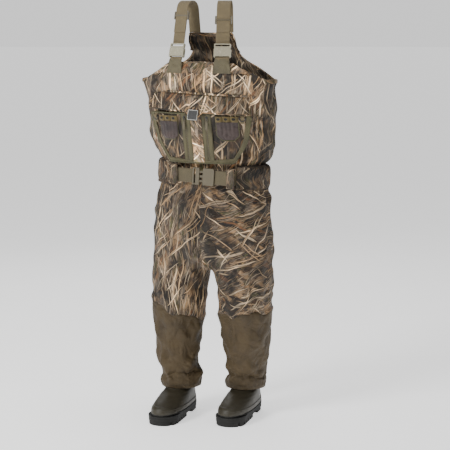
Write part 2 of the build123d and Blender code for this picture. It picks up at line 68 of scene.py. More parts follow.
def smooth_ring(rings, z):
    """Ring at a height, on a smooth curve through the given rings."""
    table = np.array(rings)
    heights = table[:, 0]
    slopes = np.gradient(table[:, 1:], heights, axis=0)
    i = int(np.clip(np.searchsorted(heights, z) - 1, 0, len(heights) - 2))
    step = heights[i + 1] - heights[i]
    t = (z - heights[i]) / step
    a, b = table[i, 1:], table[i + 1, 1:]
    ma, mb = slopes[i] * step, slopes[i + 1] * step
    cubes = (2 * t**3 - 3 * t**2 + 1, t**3 - 2 * t**2 + t, -2 * t**3 + 3 * t**2, t**3 - t**2)
    return cubes[0] * a + cubes[1] * ma + cubes[2] * b + cubes[3] * mb


def on_ring(ring, angle, grow=0.0):
    """Point on an ellipse, at an angle from the front, positive to the wearer's left."""
    half_x, half_y, y = ring
    return np.array([(half_x + grow) * math.sin(angle), BODY_Y + y - (half_y + grow) * math.cos(angle)])


def torso_point(angle, z, grow=0.0):
    return np.array([*on_ring(smooth_ring(TORSO, z), angle, grow), z])


def stride_at(side, z):
    return side * STRIDE * (1 - z / CROTCH_Z)


def smoothstep(t):
    t = np.clip(t, 0.0, 1.0)
    return t * t * (3 - 2 * t)


# ---- meshes ---------------------------------------------------------------------------
def link(obj):
    bpy.context.scene.collection.objects.link(obj)
    return obj


def mesh_object(name, verts, faces, uvs=None, material=None, smooth=True):
    """Mesh with an optional UV pair for each vertex."""
    mesh = bpy.data.meshes.new(name)
    mesh.from_pydata([tuple(v) for v in verts], [], faces)
    mesh.validate()
    if uvs is not None:
        layer = mesh.uv_layers.new(name="flat")
        order = np.zeros(len(mesh.loops), dtype=int)
        mesh.loops.foreach_get("vertex_index", order)
        layer.data.foreach_set("uv", np.asarray(uvs, dtype=float)[order].ravel())
    if smooth:
        mesh.shade_smooth()
    obj = link(bpy.data.objects.new(name, mesh))
    if material:
        mesh.materials.append(material)
    return obj


def grid_faces(rows, cols, closed=False):
    faces = []
    for r in range(rows - 1):
        for c in range(cols if closed else cols - 1):
            n = (c + 1) % cols
            faces.append((r * cols + c, r * cols + n, (r + 1) * cols + n, (r + 1) * cols + c))
    return faces


def grid_object(name, grid, material, closed=False, uvs=None):
    """Sheet from rows of points, with UVs in metres along the sheet unless they are given."""
    grid = np.asarray(grid)
    rows, cols = grid.shape[:2]
    if uvs is None:
        across = np.zeros((rows, cols))
        along = np.zeros((rows, cols))
        across[:, 1:] = np.cumsum(np.linalg.norm(np.diff(grid, axis=1), axis=2), axis=1)
        along[1:] = np.cumsum(np.linalg.norm(np.diff(grid, axis=0), axis=2), axis=0)
        across -= across[:, -1:] / 2
        uvs = np.stack([across, along], axis=2)
    return mesh_object(name, grid.reshape(-1, 3), grid_faces(rows, cols, closed),
                       uvs.reshape(-1, 2), material)


def modifier(obj, kind, name, **settings):
    mod = obj.modifiers.new(name, kind)
    for key, value in settings.items():
        setattr(mod, key, value)
    return mod


def thicken(obj, thickness, offset=-1.0, level=0):
    modifier(obj, "SOLIDIFY", "thickness", thickness=thickness, offset=offset, use_even_offset=False)
    if level:
        modifier(obj, "SUBSURF", "smooth", levels=level, render_levels=level)
    return obj


def path_frames(points, normals=None):
    """Tangent, side and normal at each point of a path."""
    points = np.asarray(points, dtype=float)
    tangents = np.gradient(points, axis=0)
    tangents /= np.linalg.norm(tangents, axis=1)[:, None]
    if normals is None:
        normals = np.tile([0.0, 0.0, 1.0], (len(points), 1))
    normals = np.asarray(normals, dtype=float)
    sides = np.cross(tangents, normals)
    sides /= np.linalg.norm(sides, axis=1)[:, None]
    normals = np.cross(sides, tangents)
    return points, tangents, sides, normals


def sweep(name, points, profile, material, normals=None, closed=False):
    """Closed profile of (side, normal) pairs swept along a path, with capped ends."""
    points, _, sides, normals = path_frames(points, normals)
    if closed:
        sides[0] = sides[-1] = (sides[0] + sides[-1]) / 2
    profile = np.asarray(profile, dtype=float)
    rings = points[:, None] + profile[None, :, :1] * sides[:, None] + profile[None, :, 1:] * normals[:, None]
    rows, cols = rings.shape[:2]
    lengths = np.concatenate([[0], np.cumsum(np.linalg.norm(np.diff(points, axis=0), axis=1))])
    uvs = np.stack([np.tile(profile[:, 0], (rows, 1)), np.tile(lengths[:, None], (1, cols))], axis=2)
    faces = grid_faces(rows, cols, True)
    if not closed:
        faces.append(tuple(range(cols)))
        faces.append(tuple((rows - 1) * cols + c for c in reversed(range(cols))))
    obj = mesh_object(name, rings.reshape(-1, 3), faces, uvs.reshape(-1, 2), material)
    fix_normals(obj)
    return obj


def fix_normals(obj):
    bm = bmesh.new()
    bm.from_mesh(obj.data)
    bmesh.ops.recalc_face_normals(bm, faces=bm.faces)
    bm.to_mesh(obj.data)
    bm.free()


def webbing_profile(width, thick, corner=0.35):
    """Flat woven band with soft edges and a slightly thicker selvedge."""
    half, edge = width / 2, thick / 2
    side = [(-half, 0), (-half + edge * corner, edge), (-half + 3 * edge, edge * 1.05)]
    middle_part = [(x * half, edge * 0.92) for x in (-0.6, -0.2, 0.2, 0.6)]
    top = side[1:] + middle_part + [(-x, y) for x, y in reversed(side[1:])]
    bottom = [(x, -y) for x, y in reversed(top)]
    return [(-half, 0)] + top + [(half, 0)] + bottom


def round_profile(radius, count=10, flat=1.0):
    angles = np.linspace(0, 2 * math.pi, count, endpoint=False)
    return [(radius * math.cos(a), radius * flat * math.sin(a)) for a in angles]


def smooth_path(points, count):
    """Evenly spaced points on a Catmull-Rom curve through the given points."""
    p = np.asarray(points, dtype=float)
    p = np.vstack([2 * p[0] - p[1], p, 2 * p[-1] - p[-2]])
    fine = []
    for i in range(1, len(p) - 2):
        for t in np.linspace(0, 1, 24, endpoint=False):
            a, b, c, d = p[i - 1], p[i], p[i + 1], p[i + 2]
            fine.append(0.5 * (2 * b + (c - a) * t + (2 * a - 5 * b + 4 * c - d) * t**2
                               + (3 * b - a - 3 * c + d) * t**3))
    fine.append(p[-2])
    return resample(fine, count)


def resample(points, count):
    points = np.asarray(points, dtype=float)
    steps = np.concatenate([[0], np.cumsum(np.linalg.norm(np.diff(points, axis=0), axis=1))])
    wanted = np.linspace(0, steps[-1], count)
    return np.stack([np.interp(wanted, steps, points[:, k]) for k in range(3)], axis=1)


def stitches(name, points, normals, material, pitch=0.0042, length=0.0028, radius=0.00045, lift=0.0003):
    """Row of short raised threads along a path."""
    points = np.asarray(points, dtype=float)
    total = np.linalg.norm(np.diff(points, axis=0), axis=1).sum()
    count = max(2, int(total / pitch))
    path = resample(points, count)
    normal_path = resample(normals, count)
    _, tangents, sides, normals = path_frames(path, normal_path)
    verts, faces = [], []
    ring = [(math.cos(a), math.sin(a)) for a in np.linspace(0, 2 * math.pi, 5, endpoint=False)]
    for p, t, s, n in zip(path, tangents, sides, normals):
        start = len(verts)
        for along, size, rise in ((-0.5, 0.35, 0.0), (-0.25, 1.0, 1.0), (0.25, 1.0, 1.0), (0.5, 0.35, 0.0)):
            centre = p + t * length * along + n * (lift * rise)
            verts += [centre + radius * size * (x * s + y * n) for x, y in ring]
        for row in range(3):
            for c in range(5):
                a, b = start + row * 5 + c, start + row * 5 + (c + 1) % 5
                faces.append((a, b, b + 5, a + 5))
    return mesh_object(name, verts, faces, None, material)


def place(obj, body, slot, *nodes):
    """The piece rides on a body and stands for the given CAD nodes, which are hidden. The slot argument is
    not used.
    """
    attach(obj, body)
    if nodes:
        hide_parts(*nodes)
    return obj


# ---- materials ------------------------------------------------------------------------
class Graph:
    """Small helper that adds and links shader nodes."""

    def __init__(self, name):
        self.material = bpy.data.materials.new(name)
        self.material.use_nodes = True
        self.tree = self.material.node_tree
        self.tree.nodes.clear()
        self.shader = self.tree.nodes.new("ShaderNodeBsdfPrincipled")
        output = self.tree.nodes.new("ShaderNodeOutputMaterial")
        self.tree.links.new(self.shader.outputs[0], output.inputs[0])

    def add(self, kind, inputs=None, **settings):
        node = self.tree.nodes.new("ShaderNode" + kind)
        for key, value in settings.items():
            setattr(node, key, value)
        for key, value in (inputs or {}).items():
            self.feed(node.inputs[key], value)
        return node

    def feed(self, socket, value):
        if isinstance(value, bpy.types.NodeSocket):
            self.tree.links.new(value, socket)
        else:
            socket.default_value = value

    def uv(self):
        return self.add("UVMap", uv_map="flat").outputs[0]

    def position(self):
        return self.add("TexCoord").outputs["Object"]

    def math(self, operation, a, b=0.0, c=0.0):
        return self.add("Math", {0: a, 1: b, 2: c}, operation=operation).outputs[0]

    def mapped(self, vector, turn=0.0, scale=(1, 1, 1), shift=(0, 0, 0)):
        turned = self.add("Mapping", {"Vector": vector, "Rotation": (0, 0, math.radians(turn)),
                                      "Location": shift}).outputs[0]
        return self.add("Mapping", {"Vector": turned, "Scale": scale}).outputs[0]

    def noise(self, vector, scale, detail=3.0, rough=0.55, output=0):
        return self.add("TexNoise", {"Vector": vector, "Scale": scale, "Detail": detail,
                                     "Roughness": rough}).outputs[output]

    def ramp(self, value, stops, interpolation="LINEAR"):
        node = self.add("ValToRGB", {0: value})
        node.color_ramp.interpolation = interpolation
        elements = node.color_ramp.elements
        while len(elements) < len(stops):
            elements.new(0.5)
        for element, (at, colour) in zip(elements, stops):
            element.position = at
            element.color = (*colour, 1) if len(colour) == 3 else colour
        return node.outputs[0]

    def steps(self, value, low, high):
        """Value squeezed to 0..1 between two limits."""
        return self.add("MapRange", {"Value": value, "From Min": low, "From Max": high},
                        interpolation_type="SMOOTHSTEP").outputs[0]

    def mix(self, share, a, b, blend="MIX"):
        node = self.add("Mix", data_type="RGBA", blend_type=blend)
        self.feed(node.inputs[0], share)
        for index, value in ((6, a), (7, b)):
            if not isinstance(value, bpy.types.NodeSocket):
                value = (*value, 1) if len(value) == 3 else value
            self.feed(node.inputs[index], value)
        return node.outputs[2]

    def bump(self, height, strength=0.3, distance=0.001, below=None):
        inputs = {"Height": height, "Strength": strength, "Distance": distance}
        if below is not None:
            inputs["Normal"] = below
        return self.add("Bump", inputs).outputs[0]

    def finish(self, colour, roughness, normal=None, **constants):
        self.feed(self.shader.inputs["Base Color"], colour)
        self.feed(self.shader.inputs["Roughness"], roughness)
        if normal is not None:
            self.feed(self.shader.inputs["Normal"], normal)
        for key, value in constants.items():
            self.shader.inputs[key.replace("_", " ")].default_value = value
        return self.material


def crumple(g, size, strength, distance):
    """Normal for soft creases that meet at points, as in handled woven nylon."""
    at = g.position()
    drift = g.noise(at, 0.6 / size, 2.0, 0.5, 1)
    drift = g.add("VectorMath", {0: drift, "Scale": size}, operation="SCALE").outputs[0]
    bent = g.add("VectorMath", {0: at, 1: drift}, operation="ADD").outputs[0]
    cells = g.add("TexVoronoi", {"Vector": bent, "Scale": 1.0 / size}, feature="DISTANCE_TO_EDGE").outputs[0]
    fine = g.add("TexVoronoi", {"Vector": bent, "Scale": 2.7 / size}, feature="DISTANCE_TO_EDGE").outputs[0]
    small = g.math("MULTIPLY", g.steps(fine, 0.0, 0.5), -0.35)
    height = g.math("MULTIPLY_ADD", g.steps(cells, 0.0, 0.5), -1.0, small)
    return g.bump(height, strength, distance)


def weave(g, uv, pitch):
    """Height of a plain weave: threads that pass over and under each other."""
    waves = []
    for turn in (0, 90):
        vector = g.mapped(uv, turn)
        waves.append(g.add("TexWave", {"Vector": vector, "Scale": 0.314 / pitch, "Distortion": 0.0},
                           wave_type="BANDS", bands_direction="X", wave_profile="SIN").outputs[1])
    return g.math("MULTIPLY", waves[0], waves[1])


def reeds(g, uv, colour, turn, width, length, keep, stops, seed, dark=0.75):
    """Layer of long pointed blades over a colour, each with a shaded outline and its own tone."""
    bend = g.noise(g.mapped(uv, 0, (1, 1, 1), (seed, 0, 0)), 5.0, 1.0, 0.5, 1)
    bend = g.add("VectorMath", {0: bend, 1: (0.5, 0.5, 0.5)}, operation="SUBTRACT").outputs[0]
    bend = g.add("VectorMath", {0: bend, "Scale": 0.045}, operation="SCALE").outputs[0]
    bent = g.add("VectorMath", {0: uv, 1: bend}, operation="ADD").outputs[0]
    vector = g.mapped(bent, turn, (1 / width, 1 / length, 1), (seed * 1.7, seed * 0.9, 0))
    cells = g.add("TexVoronoi", {"Vector": vector, "Scale": 1.0}, voronoi_dimensions="2D",
                  feature="F1")
    edge = g.add("TexVoronoi", {"Vector": vector, "Scale": 1.0}, voronoi_dimensions="2D",
                 feature="DISTANCE_TO_EDGE").outputs[0]
    parts = g.add("SeparateColor", {0: cells.outputs["Color"]})
    chosen = g.math("LESS_THAN", parts.outputs[0], keep)
    blade = g.math("MULTIPLY", chosen, g.steps(edge, 0.10, 0.16))
    outline = g.math("MULTIPLY", chosen, g.math("SUBTRACT", 1.0, g.steps(edge, 0.02, 0.14)))
    colour = g.mix(g.math("MULTIPLY", outline, dark), colour, (0.012, 0.009, 0.006))
    tone = g.ramp(parts.outputs[1], stops)
    grain = g.noise(g.mapped(bent, turn, (900, 40, 1)), 1.0, 2.0)
    streak = g.steps(grain, 0.25, 0.75)
    shade = g.math("MULTIPLY_ADD", streak, 0.55, 0.62)
    shade = g.math("MULTIPLY", shade, g.math("MULTIPLY_ADD", g.steps(edge, 0.10, 0.42), 0.35, 0.75))
    tone = g.mix(1.0, tone, g.add("CombineColor", {0: shade, 1: shade, 2: shade}).outputs[0], "MULTIPLY")
    return g.mix(blade, colour, tone)


CREAM = (0.64, 0.50, 0.34)
PALE = (0.46, 0.38, 0.28)
TAN = (0.34, 0.23, 0.13)
RUST = (0.19, 0.100, 0.048)
OLIVE = (0.10, 0.095, 0.040)
BROWN = (0.085, 0.055, 0.034)
GREY = (0.16, 0.132, 0.105)
DARK = (0.022, 0.017, 0.012)


def camo(name, tone_and_painted_light=1.0, pale=1.0, turn=0.0, seed=0.0):
    """Printed marsh pattern on woven fabric: blades and stalks of several sizes over shadowed ground. The
    first number scales the whole colour: partly the fabric's tone, partly painted light and shade for the
    part of the wader it covers.
    """
    g = Graph(name)
    uv = g.mapped(g.uv(), turn, (1, 1, 1), (seed, seed * 0.7, 0))
    warp = g.noise(uv, 4.0, 2.0, 0.5, 1)
    warp = g.add("VectorMath", {0: warp, "Scale": 0.10}, operation="SCALE").outputs[0]
    bent = g.add("VectorMath", {0: uv, 1: warp}, operation="ADD").outputs[0]
    ground = g.ramp(g.noise(g.mapped(bent, 0, (1, 0.35, 1)), 26.0, 6.0, 0.68),
                    [(0.34, DARK), (0.46, BROWN), (0.54, GREY), (0.62, OLIVE), (0.74, TAN)])
    colour = reeds(g, bent, ground, 14, 0.026, 0.110, 0.50,
                   [(0.0, DARK), (0.25, BROWN), (0.5, OLIVE), (0.75, GREY), (1.0, DARK)], 1.3 + seed)
    colour = reeds(g, bent, colour, -20, 0.0038, 0.055, 0.55,
                   [(0.0, BROWN), (0.3, GREY), (0.5, TAN), (0.75, OLIVE), (1.0, DARK)], 4.1 + seed, 0.45)
    blot = g.noise(g.mapped(bent, 20, (1, 0.5, 1), (seed, 0, 0)), 17.0, 4.0, 0.65)
    blot_tone = g.ramp(g.noise(uv, 9.0, 2.0), [(0.35, BROWN), (0.48, TAN), (0.58, GREY), (0.68, PALE)])
    colour = g.mix(g.math("MULTIPLY", g.steps(blot, 0.50, 0.57), 0.75), colour, blot_tone)
    colour = reeds(g, bent, colour, 28, 0.0130, 0.100, 0.26 * pale,
                   [(0.0, GREY), (0.25, TAN), (0.5, RUST), (0.75, BROWN), (1.0, DARK)], 7.7 + seed)
    colour = reeds(g, bent, colour, -10, 0.0034, 0.070, 0.30 * pale,
                   [(0.0, TAN), (0.4, GREY), (0.7, PALE), (1.0, BROWN)], 8.4 + seed, 0.5)
    shadow = g.steps(g.noise(g.mapped(bent, 0, (1, 0.6, 1), (0, seed, 0)), 13.0, 5.0, 0.62), 0.53, 0.62)
    colour = g.mix(g.math("MULTIPLY", shadow, 0.80), colour, DARK)
    colour = reeds(g, uv, colour, -6, 0.0075, 0.150, 0.13 * pale,
                   [(0.0, PALE), (0.4, TAN), (0.75, CREAM), (1.0, GREY)], 2.9 + seed)
    colour = reeds(g, bent, colour, 36, 0.0050, 0.120, 0.07 * pale,
                   [(0.0, TAN), (0.5, CREAM), (1.0, PALE)], 9.2 + seed)
    colour = reeds(g, bent, colour, -48, 0.0042, 0.100, 0.055 * pale,
                   [(0.0, CREAM), (0.6, PALE), (1.0, TAN)], 5.6 + seed)
    patches = g.steps(g.noise(uv, 7.5, 3.0, 0.6), 0.36, 0.64)
    # Random lighter and darker patches, times the brightness factor that carries painted light and shade.
    shade = g.math("MULTIPLY_ADD", patches, 0.75 * tone_and_painted_light, 0.62 * tone_and_painted_light)
    colour = g.mix(1.0, colour, g.add("CombineColor", {0: shade, 1: shade, 2: shade}).outputs[0], "MULTIPLY")
    colour = g.add("Gamma", {"Color": colour, "Gamma": 1.35}).outputs[0]
    height = weave(g, g.uv(), 0.0011)
    wrinkle = g.noise(g.position(), 34.0, 3.0)
    normal = g.bump(wrinkle, 0.55, 0.0032, crumple(g, 0.075, 0.75, 0.009))
    normal = g.bump(height, 0.35, 0.0004, normal)
    rough = g.math("MULTIPLY_ADD", g.noise(g.position(), 60.0), 0.14, 0.74)
    return g.finish(colour, rough, normal, Sheen_Weight=0.02, Sheen_Roughness=0.5)


def nylon(name, colour, dark, pitch=0.0012, sheen=0.15, crease=0.7):
    """Plain dyed woven nylon with rubbed high spots and dirt in the low ones."""
    g = Graph(name)
    uv = g.uv()
    worn = g.noise(g.position(), 14.0, 4.0, 0.6)
    tone = g.ramp(worn, [(0.25, dark), (0.5, colour), (0.8, tuple(min(1, c * 1.22) for c in colour))])
    threads = g.noise(g.mapped(uv, 0, (900, 60, 1)), 1.0, 2.0)
    tone = g.mix(g.math("MULTIPLY", g.steps(threads, 0.35, 0.75), 0.25), tone, dark)
    normal = g.bump(g.noise(g.position(), 28.0, 3.0), crease, 0.004, crumple(g, 0.090, crease, 0.010))
    normal = g.bump(weave(g, uv, pitch), 0.5, 0.0005, normal)
    rough = g.math("MULTIPLY_ADD", worn, 0.2, 0.62)
    return g.finish(tone, rough, normal, Sheen_Weight=sheen, Sheen_Roughness=0.45)


def webbing(name, colour, dark):
    """Ribbed webbing: rows of chevron threads across the band, with painted shade darkening the valleys
    between the ribs.
    """
    g = Graph(name)
    uv = g.uv()
    split = g.add("SeparateXYZ", {0: uv})
    slant = g.math("ABSOLUTE", split.outputs[0])
    along = g.math("MULTIPLY_ADD", slant, 0.6, split.outputs[1])
    vector = g.add("CombineXYZ", {0: along, 1: split.outputs[0]}).outputs[0]
    ribs = g.add("TexWave", {"Vector": vector, "Scale": 0.314 / 0.0022}, wave_type="BANDS",
                 bands_direction="X", wave_profile="SIN").outputs[1]
    lanes = g.add("TexWave", {"Vector": vector, "Scale": 0.314 / 0.0030}, wave_type="BANDS",
                  bands_direction="Y", wave_profile="SIN").outputs[1]
    height = g.math("MULTIPLY_ADD", ribs, 0.7, g.math("MULTIPLY", lanes, 0.4))
    worn = g.noise(g.position(), 40.0, 4.0)
    # The dark colour fills the low parts of the rib height: painted shade in the valleys.
    tone = g.mix(g.steps(height, 0.1, 0.8), dark, colour)
    tone = g.mix(g.math("MULTIPLY", g.steps(worn, 0.45, 0.75), 0.35), tone,
                 tuple(min(1, c * 1.35) for c in colour))
    normal = g.bump(height, 0.6, 0.0006)
    return g.finish(tone, g.math("MULTIPLY_ADD", worn, 0.18, 0.68), normal,
                    Sheen_Weight=0.12, Sheen_Roughness=0.4)


def plastic(name, colour, roughness=0.32, coat=0.15):
    """Moulded plastic with a fine grain, handling scuffs and slightly uneven gloss."""
    g = Graph(name)
    at = g.position()
    scuff = g.steps(g.noise(at, 160.0, 4.0, 0.7), 0.52, 0.75)
    tone = g.mix(g.math("MULTIPLY", scuff, 0.35), colour, tuple(min(1, c * 1.7 + 0.01) for c in colour))
    rough = g.math("MULTIPLY_ADD", scuff, 0.25, roughness)
    normal = g.bump(g.noise(at, 900.0, 2.0), 0.12, 0.0004)
    return g.finish(tone, rough, normal, Coat_Weight=coat, Coat_Roughness=0.25)


def rubber(name, colour, roughness=0.5, dust=(0.10, 0.09, 0.07), crease=0.3):
    """Moulded rubber with a satin surface, faint dust and shallow flow marks."""
    g = Graph(name)
    at = g.position()
    cloud = g.noise(at, 18.0, 5.0, 0.6)
    tone = g.mix(g.math("MULTIPLY", g.steps(cloud, 0.45, 0.8), 0.45), colour, dust)
    normal = g.bump(g.noise(at, 22.0, 2.0), crease, 0.004)
    normal = g.bump(g.noise(at, 700.0, 2.0), 0.25, 0.0004, normal)
    rough = g.math("MULTIPLY_ADD", g.noise(at, 45.0, 3.0), 0.25, roughness - 0.1)
    return g.finish(tone, rough, normal, Specular_IOR_Level=0.45)


def thread(name, colour):
    g = Graph(name)
    twist = g.add("TexWave", {"Vector": g.position(), "Scale": 900.0}, bands_direction="DIAGONAL").outputs[1]
    # The twist's grooves are darkened to 0.6 of the colour as painted shade.
    return g.finish(g.mix(twist, tuple(c * 0.6 for c in colour), colour), 0.7,
                    g.bump(twist, 0.4, 0.0002))


# Copies of one camo print at different brightness. The body copy, on the flanks, back and belt tunnel, is
# darkened as painted shade.
CAMO_BODY_SHADED = camo("marsh_camo", 0.80, 0.95)
# The bib copy, also used on the flap, is lightened as painted light on the front.
CAMO_BIB_LIT = camo("marsh_camo_bib_lit", 1.72, 1.15, 6, 0.4)
# The two leg copies differ in brightness partly as painted light and shade.
CAMO_LEFT = camo("marsh_camo_left_leg", 1.16, 1.25, 84, 1.1)
CAMO_RIGHT = camo("marsh_camo_right_leg", 1.22, 1.25, 18, 2.3)
CAMO_HEM = camo("marsh_camo_hem", 1.9, 1.1, 35, 3.1)
CAMO_STRIP = camo("marsh_camo_strip", 3.1, 1.3, -12, 0.9)
# The pocket copy is darkened as painted shade for the pocket recessed under the flap; its bellows and the
# belt loops use it too.
CAMO_SHADED = camo("marsh_camo_pocket_shaded", 0.92, 0.9, 8, 1.7)
PLUM_CLOTH = nylon("plum_cloth", (0.052, 0.034, 0.030), (0.018, 0.012, 0.011), 0.0012, 0.03)
BROWN_NYLON = nylon("brown_nylon", (0.058, 0.037, 0.0125), (0.032, 0.020, 0.007), 0.0012, 0.0, 1.0)
CAMO_INNER = camo("marsh_camo_inner", 1.0, 0.7, 12)
LINING = nylon("lining_taffeta", (0.060, 0.055, 0.045), (0.035, 0.032, 0.027), 0.0009, 0.3)
OLIVE_WEB = webbing("suspender_webbing", (0.155, 0.118, 0.058), (0.076, 0.057, 0.029))
BELT_WEB = webbing("belt_webbing", (0.110, 0.088, 0.046), (0.048, 0.038, 0.020))
ZIP_CLOTH = nylon("zip_cloth", (0.088, 0.076, 0.034), (0.048, 0.042, 0.020), 0.0010, 0.04)
OLIVE_TRIM = nylon("olive_binding", (0.072, 0.066, 0.028), (0.038, 0.035, 0.016), 0.0010, 0.04)
TAB_CLOTH = nylon("tab_cloth", (0.105, 0.088, 0.045), (0.060, 0.050, 0.027), 0.0014, 0.05)
GOLD_ELASTIC = webbing("gold_elastic", (0.150, 0.108, 0.036), (0.060, 0.042, 0.015))
BUCKLE = plastic("buckle_plastic", (0.300, 0.275, 0.195), 0.24, 0.3)
OLIVE_PLASTIC = plastic("olive_plastic", (0.095, 0.078, 0.046), 0.30, 0.2)
BLACK = plastic("black_plastic", (0.012, 0.012, 0.012), 0.35)
BOOT = rubber("boot_rubber", (0.032, 0.027, 0.016), 0.46, (0.060, 0.050, 0.032))
SOLE = rubber("sole_rubber", (0.006, 0.0058, 0.005), 0.75, (0.022, 0.020, 0.016))
THREAD = thread("thread", (0.16, 0.13, 0.08))
DARK_THREAD = thread("dark_thread", (0.035, 0.030, 0.020))


# ---- garment --------------------------------------------------------------------------
COLUMNS = 120                     # around the body, three degrees each
INNER = 24                        # across the crotch, from back to front
OPEN = 22                         # columns from the middle to the edge of the bib and the yoke
SPLIT_Z = 0.616                   # last whole ring above the two legs
KNEE_Z = 0.407
BELT_Z = 0.885
STEP = 0.0115
CLOTH_FRAMES = 26


def arc_table():
    """Arc length around the body at each column, from the front middle."""
    ring = [0.226, 0.134, 0.0]
    spots = np.array([on_ring(ring, math.radians(3 * i)) for i in range(COLUMNS + 1)])
    return np.concatenate([[0], np.cumsum(np.linalg.norm(np.diff(spots, axis=0), axis=1))])


ARC = arc_table()
GIRTH = ARC[-1]


def arc_at(angle):
    """Arc length at an angle from -180 to 180 degrees."""
    length = np.interp(abs(angle) / 3, np.arange(COLUMNS + 1), ARC)
    return math.copysign(length, angle)


class Garment:
    """Vertices and faces of the fabric, with a flat position and a kind for each face."""

    def __init__(self):
        self.verts, self.flat, self.faces, self.kinds = [], [], [], []

    def add(self, point, flat):
        self.verts.append(tuple(point))
        self.flat.append(tuple(flat))
        return len(self.verts) - 1

    def quads(self, low, high, kind, closed=False):
        count = len(low)
        for c in range(count if closed else count - 1):
            n = (c + 1) % count
            self.faces.append((low[c], low[n], high[n], high[c]))
            self.kinds.append(kind if isinstance(kind, str) else kind[c])


def heights(low, high):
    return np.linspace(low, high, max(2, int(round((high - low) / STEP)) + 1))


def knee_wave(u):
    return 0.007 * math.sin(u * 31 + 0.6) + 0.004 * math.sin(u * 67 + 2.0)


def build_garment():
    g = Garment()
    angles = [3 * i if i <= COLUMNS // 2 else 3 * i - 360 for i in range(COLUMNS)]
    rows = []
    for z in heights(SPLIT_Z, TORSO[-1][0]):
        row = []
        for angle in angles:
            u = arc_at(angle)
            row.append(g.add(torso_point(math.radians(angle), z), (u, z)))
        rows.append((z, row))
    for (z, low), (_, high) in zip(rows, rows[1:]):
        if z < BELT_Z:
            kind = ["left" if 0 <= a < 180 else "right" for a in angles]
        else:
            kind = ["bib" if -66 <= a < 66 else "body" for a in angles]
        g.quads(low, high, kind, True)
    top = rows[-1][1]
    front_limits = [(1.220, 66), (1.250, 44), (1.278, 30)]
    back_limits = [(1.220, 66), (1.262, 43), (1.305, 27), (1.382, 30)]
    edges = {"armpit": top}
    tops = (("front", 0, front_limits, FRONT_TOP), ("back", 180, back_limits, YOKE))
    for name, middle_angle, limits, rings in tops:
        below = [top[(middle_angle // 3 + j) % COLUMNS] for j in range(-OPEN, OPEN + 1)]
        side_low, side_high = [below[0]], [below[-1]]
        for z in heights(limits[0][0], limits[-1][0])[1:]:
            limit = np.interp(z, [p[0] for p in limits], [p[1] for p in limits])
            row = []
            for j in range(-OPEN, OPEN + 1):
                angle = math.radians(middle_angle + limit * j / OPEN)
                x, y = on_ring(smooth_ring(rings, z), angle)
                crown = 0.0 if name == "back" else 0.004 * (1 - (j / OPEN) ** 2) * (z - limits[0][0]) / 0.058
                u = arc_at(limit * j / OPEN) if name == "front" else arc_at(limit * j / OPEN) + GIRTH / 2
                row.append(g.add((x, y, z + crown), (u, z)))
            g.quads(below, row, "bib" if name == "front" else "body")
            below = row
            side_low.append(row[0])
            side_high.append(row[-1])
        edges[name] = side_low + below[1:-1] + side_high[::-1]
    for side in (1, -1):
        build_leg(g, rows[0][1], side, edges)
    return g, edges


def build_leg(g, ring, side, edges):
    """One leg from the split to its cuff, around half of the body's lowest ring."""
    half = COLUMNS // 2
    outer = [ring[(side * i) % COLUMNS] for i in range(half + 1)]
    spots = [np.array(g.verts[i]) for i in outer]
    front, back = spots[0], spots[-1]
    crotch = edges.setdefault("crotch", [])
    if not crotch:
        for j in range(1, INNER):
            t = j / INNER
            point = back * (1 - t) + front * t
            point[2] = SPLIT_Z - 0.040 * math.sin(math.pi * t) ** 0.7
            crotch.append(g.add(point, (0, 0)))
    loop = outer + crotch
    start = np.array([g.verts[i] for i in loop])
    steps = np.linalg.norm(np.diff(np.vstack([start, start[:1]]), axis=0), axis=1)
    run = np.concatenate([[0], np.cumsum(steps)])
    total = run[-1]
    share = run[:-1] / total
    front_angle = math.radians(-62)
    turn = front_angle + share * 2 * math.pi
    inner_mid = half + INNER / 2
    u = []
    for i in range(len(loop)):
        if i <= half:
            u.append(side * ARC[i])
        elif i <= inner_mid:
            u.append(side * (ARC[half] + run[i] - run[half]))
        else:
            u.append(side * (run[i] - total))
    edges["leg_wrap"] = ARC[half] + total - run[half]
    slope = 0.030 if side < 0 else 0.008
    knee = np.array([KNEE_Z + knee_wave(value * side) + slope * math.sin(a) for value, a in zip(u, turn)])
    levels = list(heights(KNEE_Z, SPLIT_Z)[::-1]) + list(heights(LEG[0][0], KNEE_Z)[::-1][1:])
    hang = (0.5 - 0.5 * np.cos(turn)) ** 2 * 0.012
    below = loop
    for z in levels[1:]:
        blend = smoothstep((SPLIT_Z - z) / (SPLIT_Z - 0.550))
        ring_now = smooth_ring(LEG, min(z, LEG[-1][0]))
        row = []
        for i, index in enumerate(loop):
            near_knee = math.exp(-((z - KNEE_Z) / 0.075) ** 2)
            lift = (knee[i] - KNEE_Z) * near_knee
            half_x, half_y, y, leg_x = ring_now
            target = np.array([side * (leg_x + half_x * math.sin(turn[i])),
                               BODY_Y + y + stride_at(side, z) - half_y * math.cos(turn[i]), z])
            drop = start[i] - np.array([0, 0, (SPLIT_Z - z) * 1.0])
            point = drop * (1 - blend) + target * blend
            sink = (1 - smoothstep((SPLIT_Z - z) / 0.10)) * (start[i][2] - SPLIT_Z)
            point[2] = z + lift + sink * 0.98 - hang[i] * smoothstep((0.20 - z) / 0.09)
            row.append(g.add(point, (u[i], z)))
        if z < KNEE_Z - 0.0005:
            kind = "shin"
        else:
            kind = "left" if side > 0 else "right"
        pair = (below, row) if side < 0 else (row, below)
        g.quads(*pair, kind, True)
        if abs(z - KNEE_Z) < 0.0005:
            edges[f"knee{side}"] = row
        if abs(z - 0.118) < STEP / 2:
            edges[f"hem{side}"] = row
        below = row
    edges[f"cuff{side}"] = below


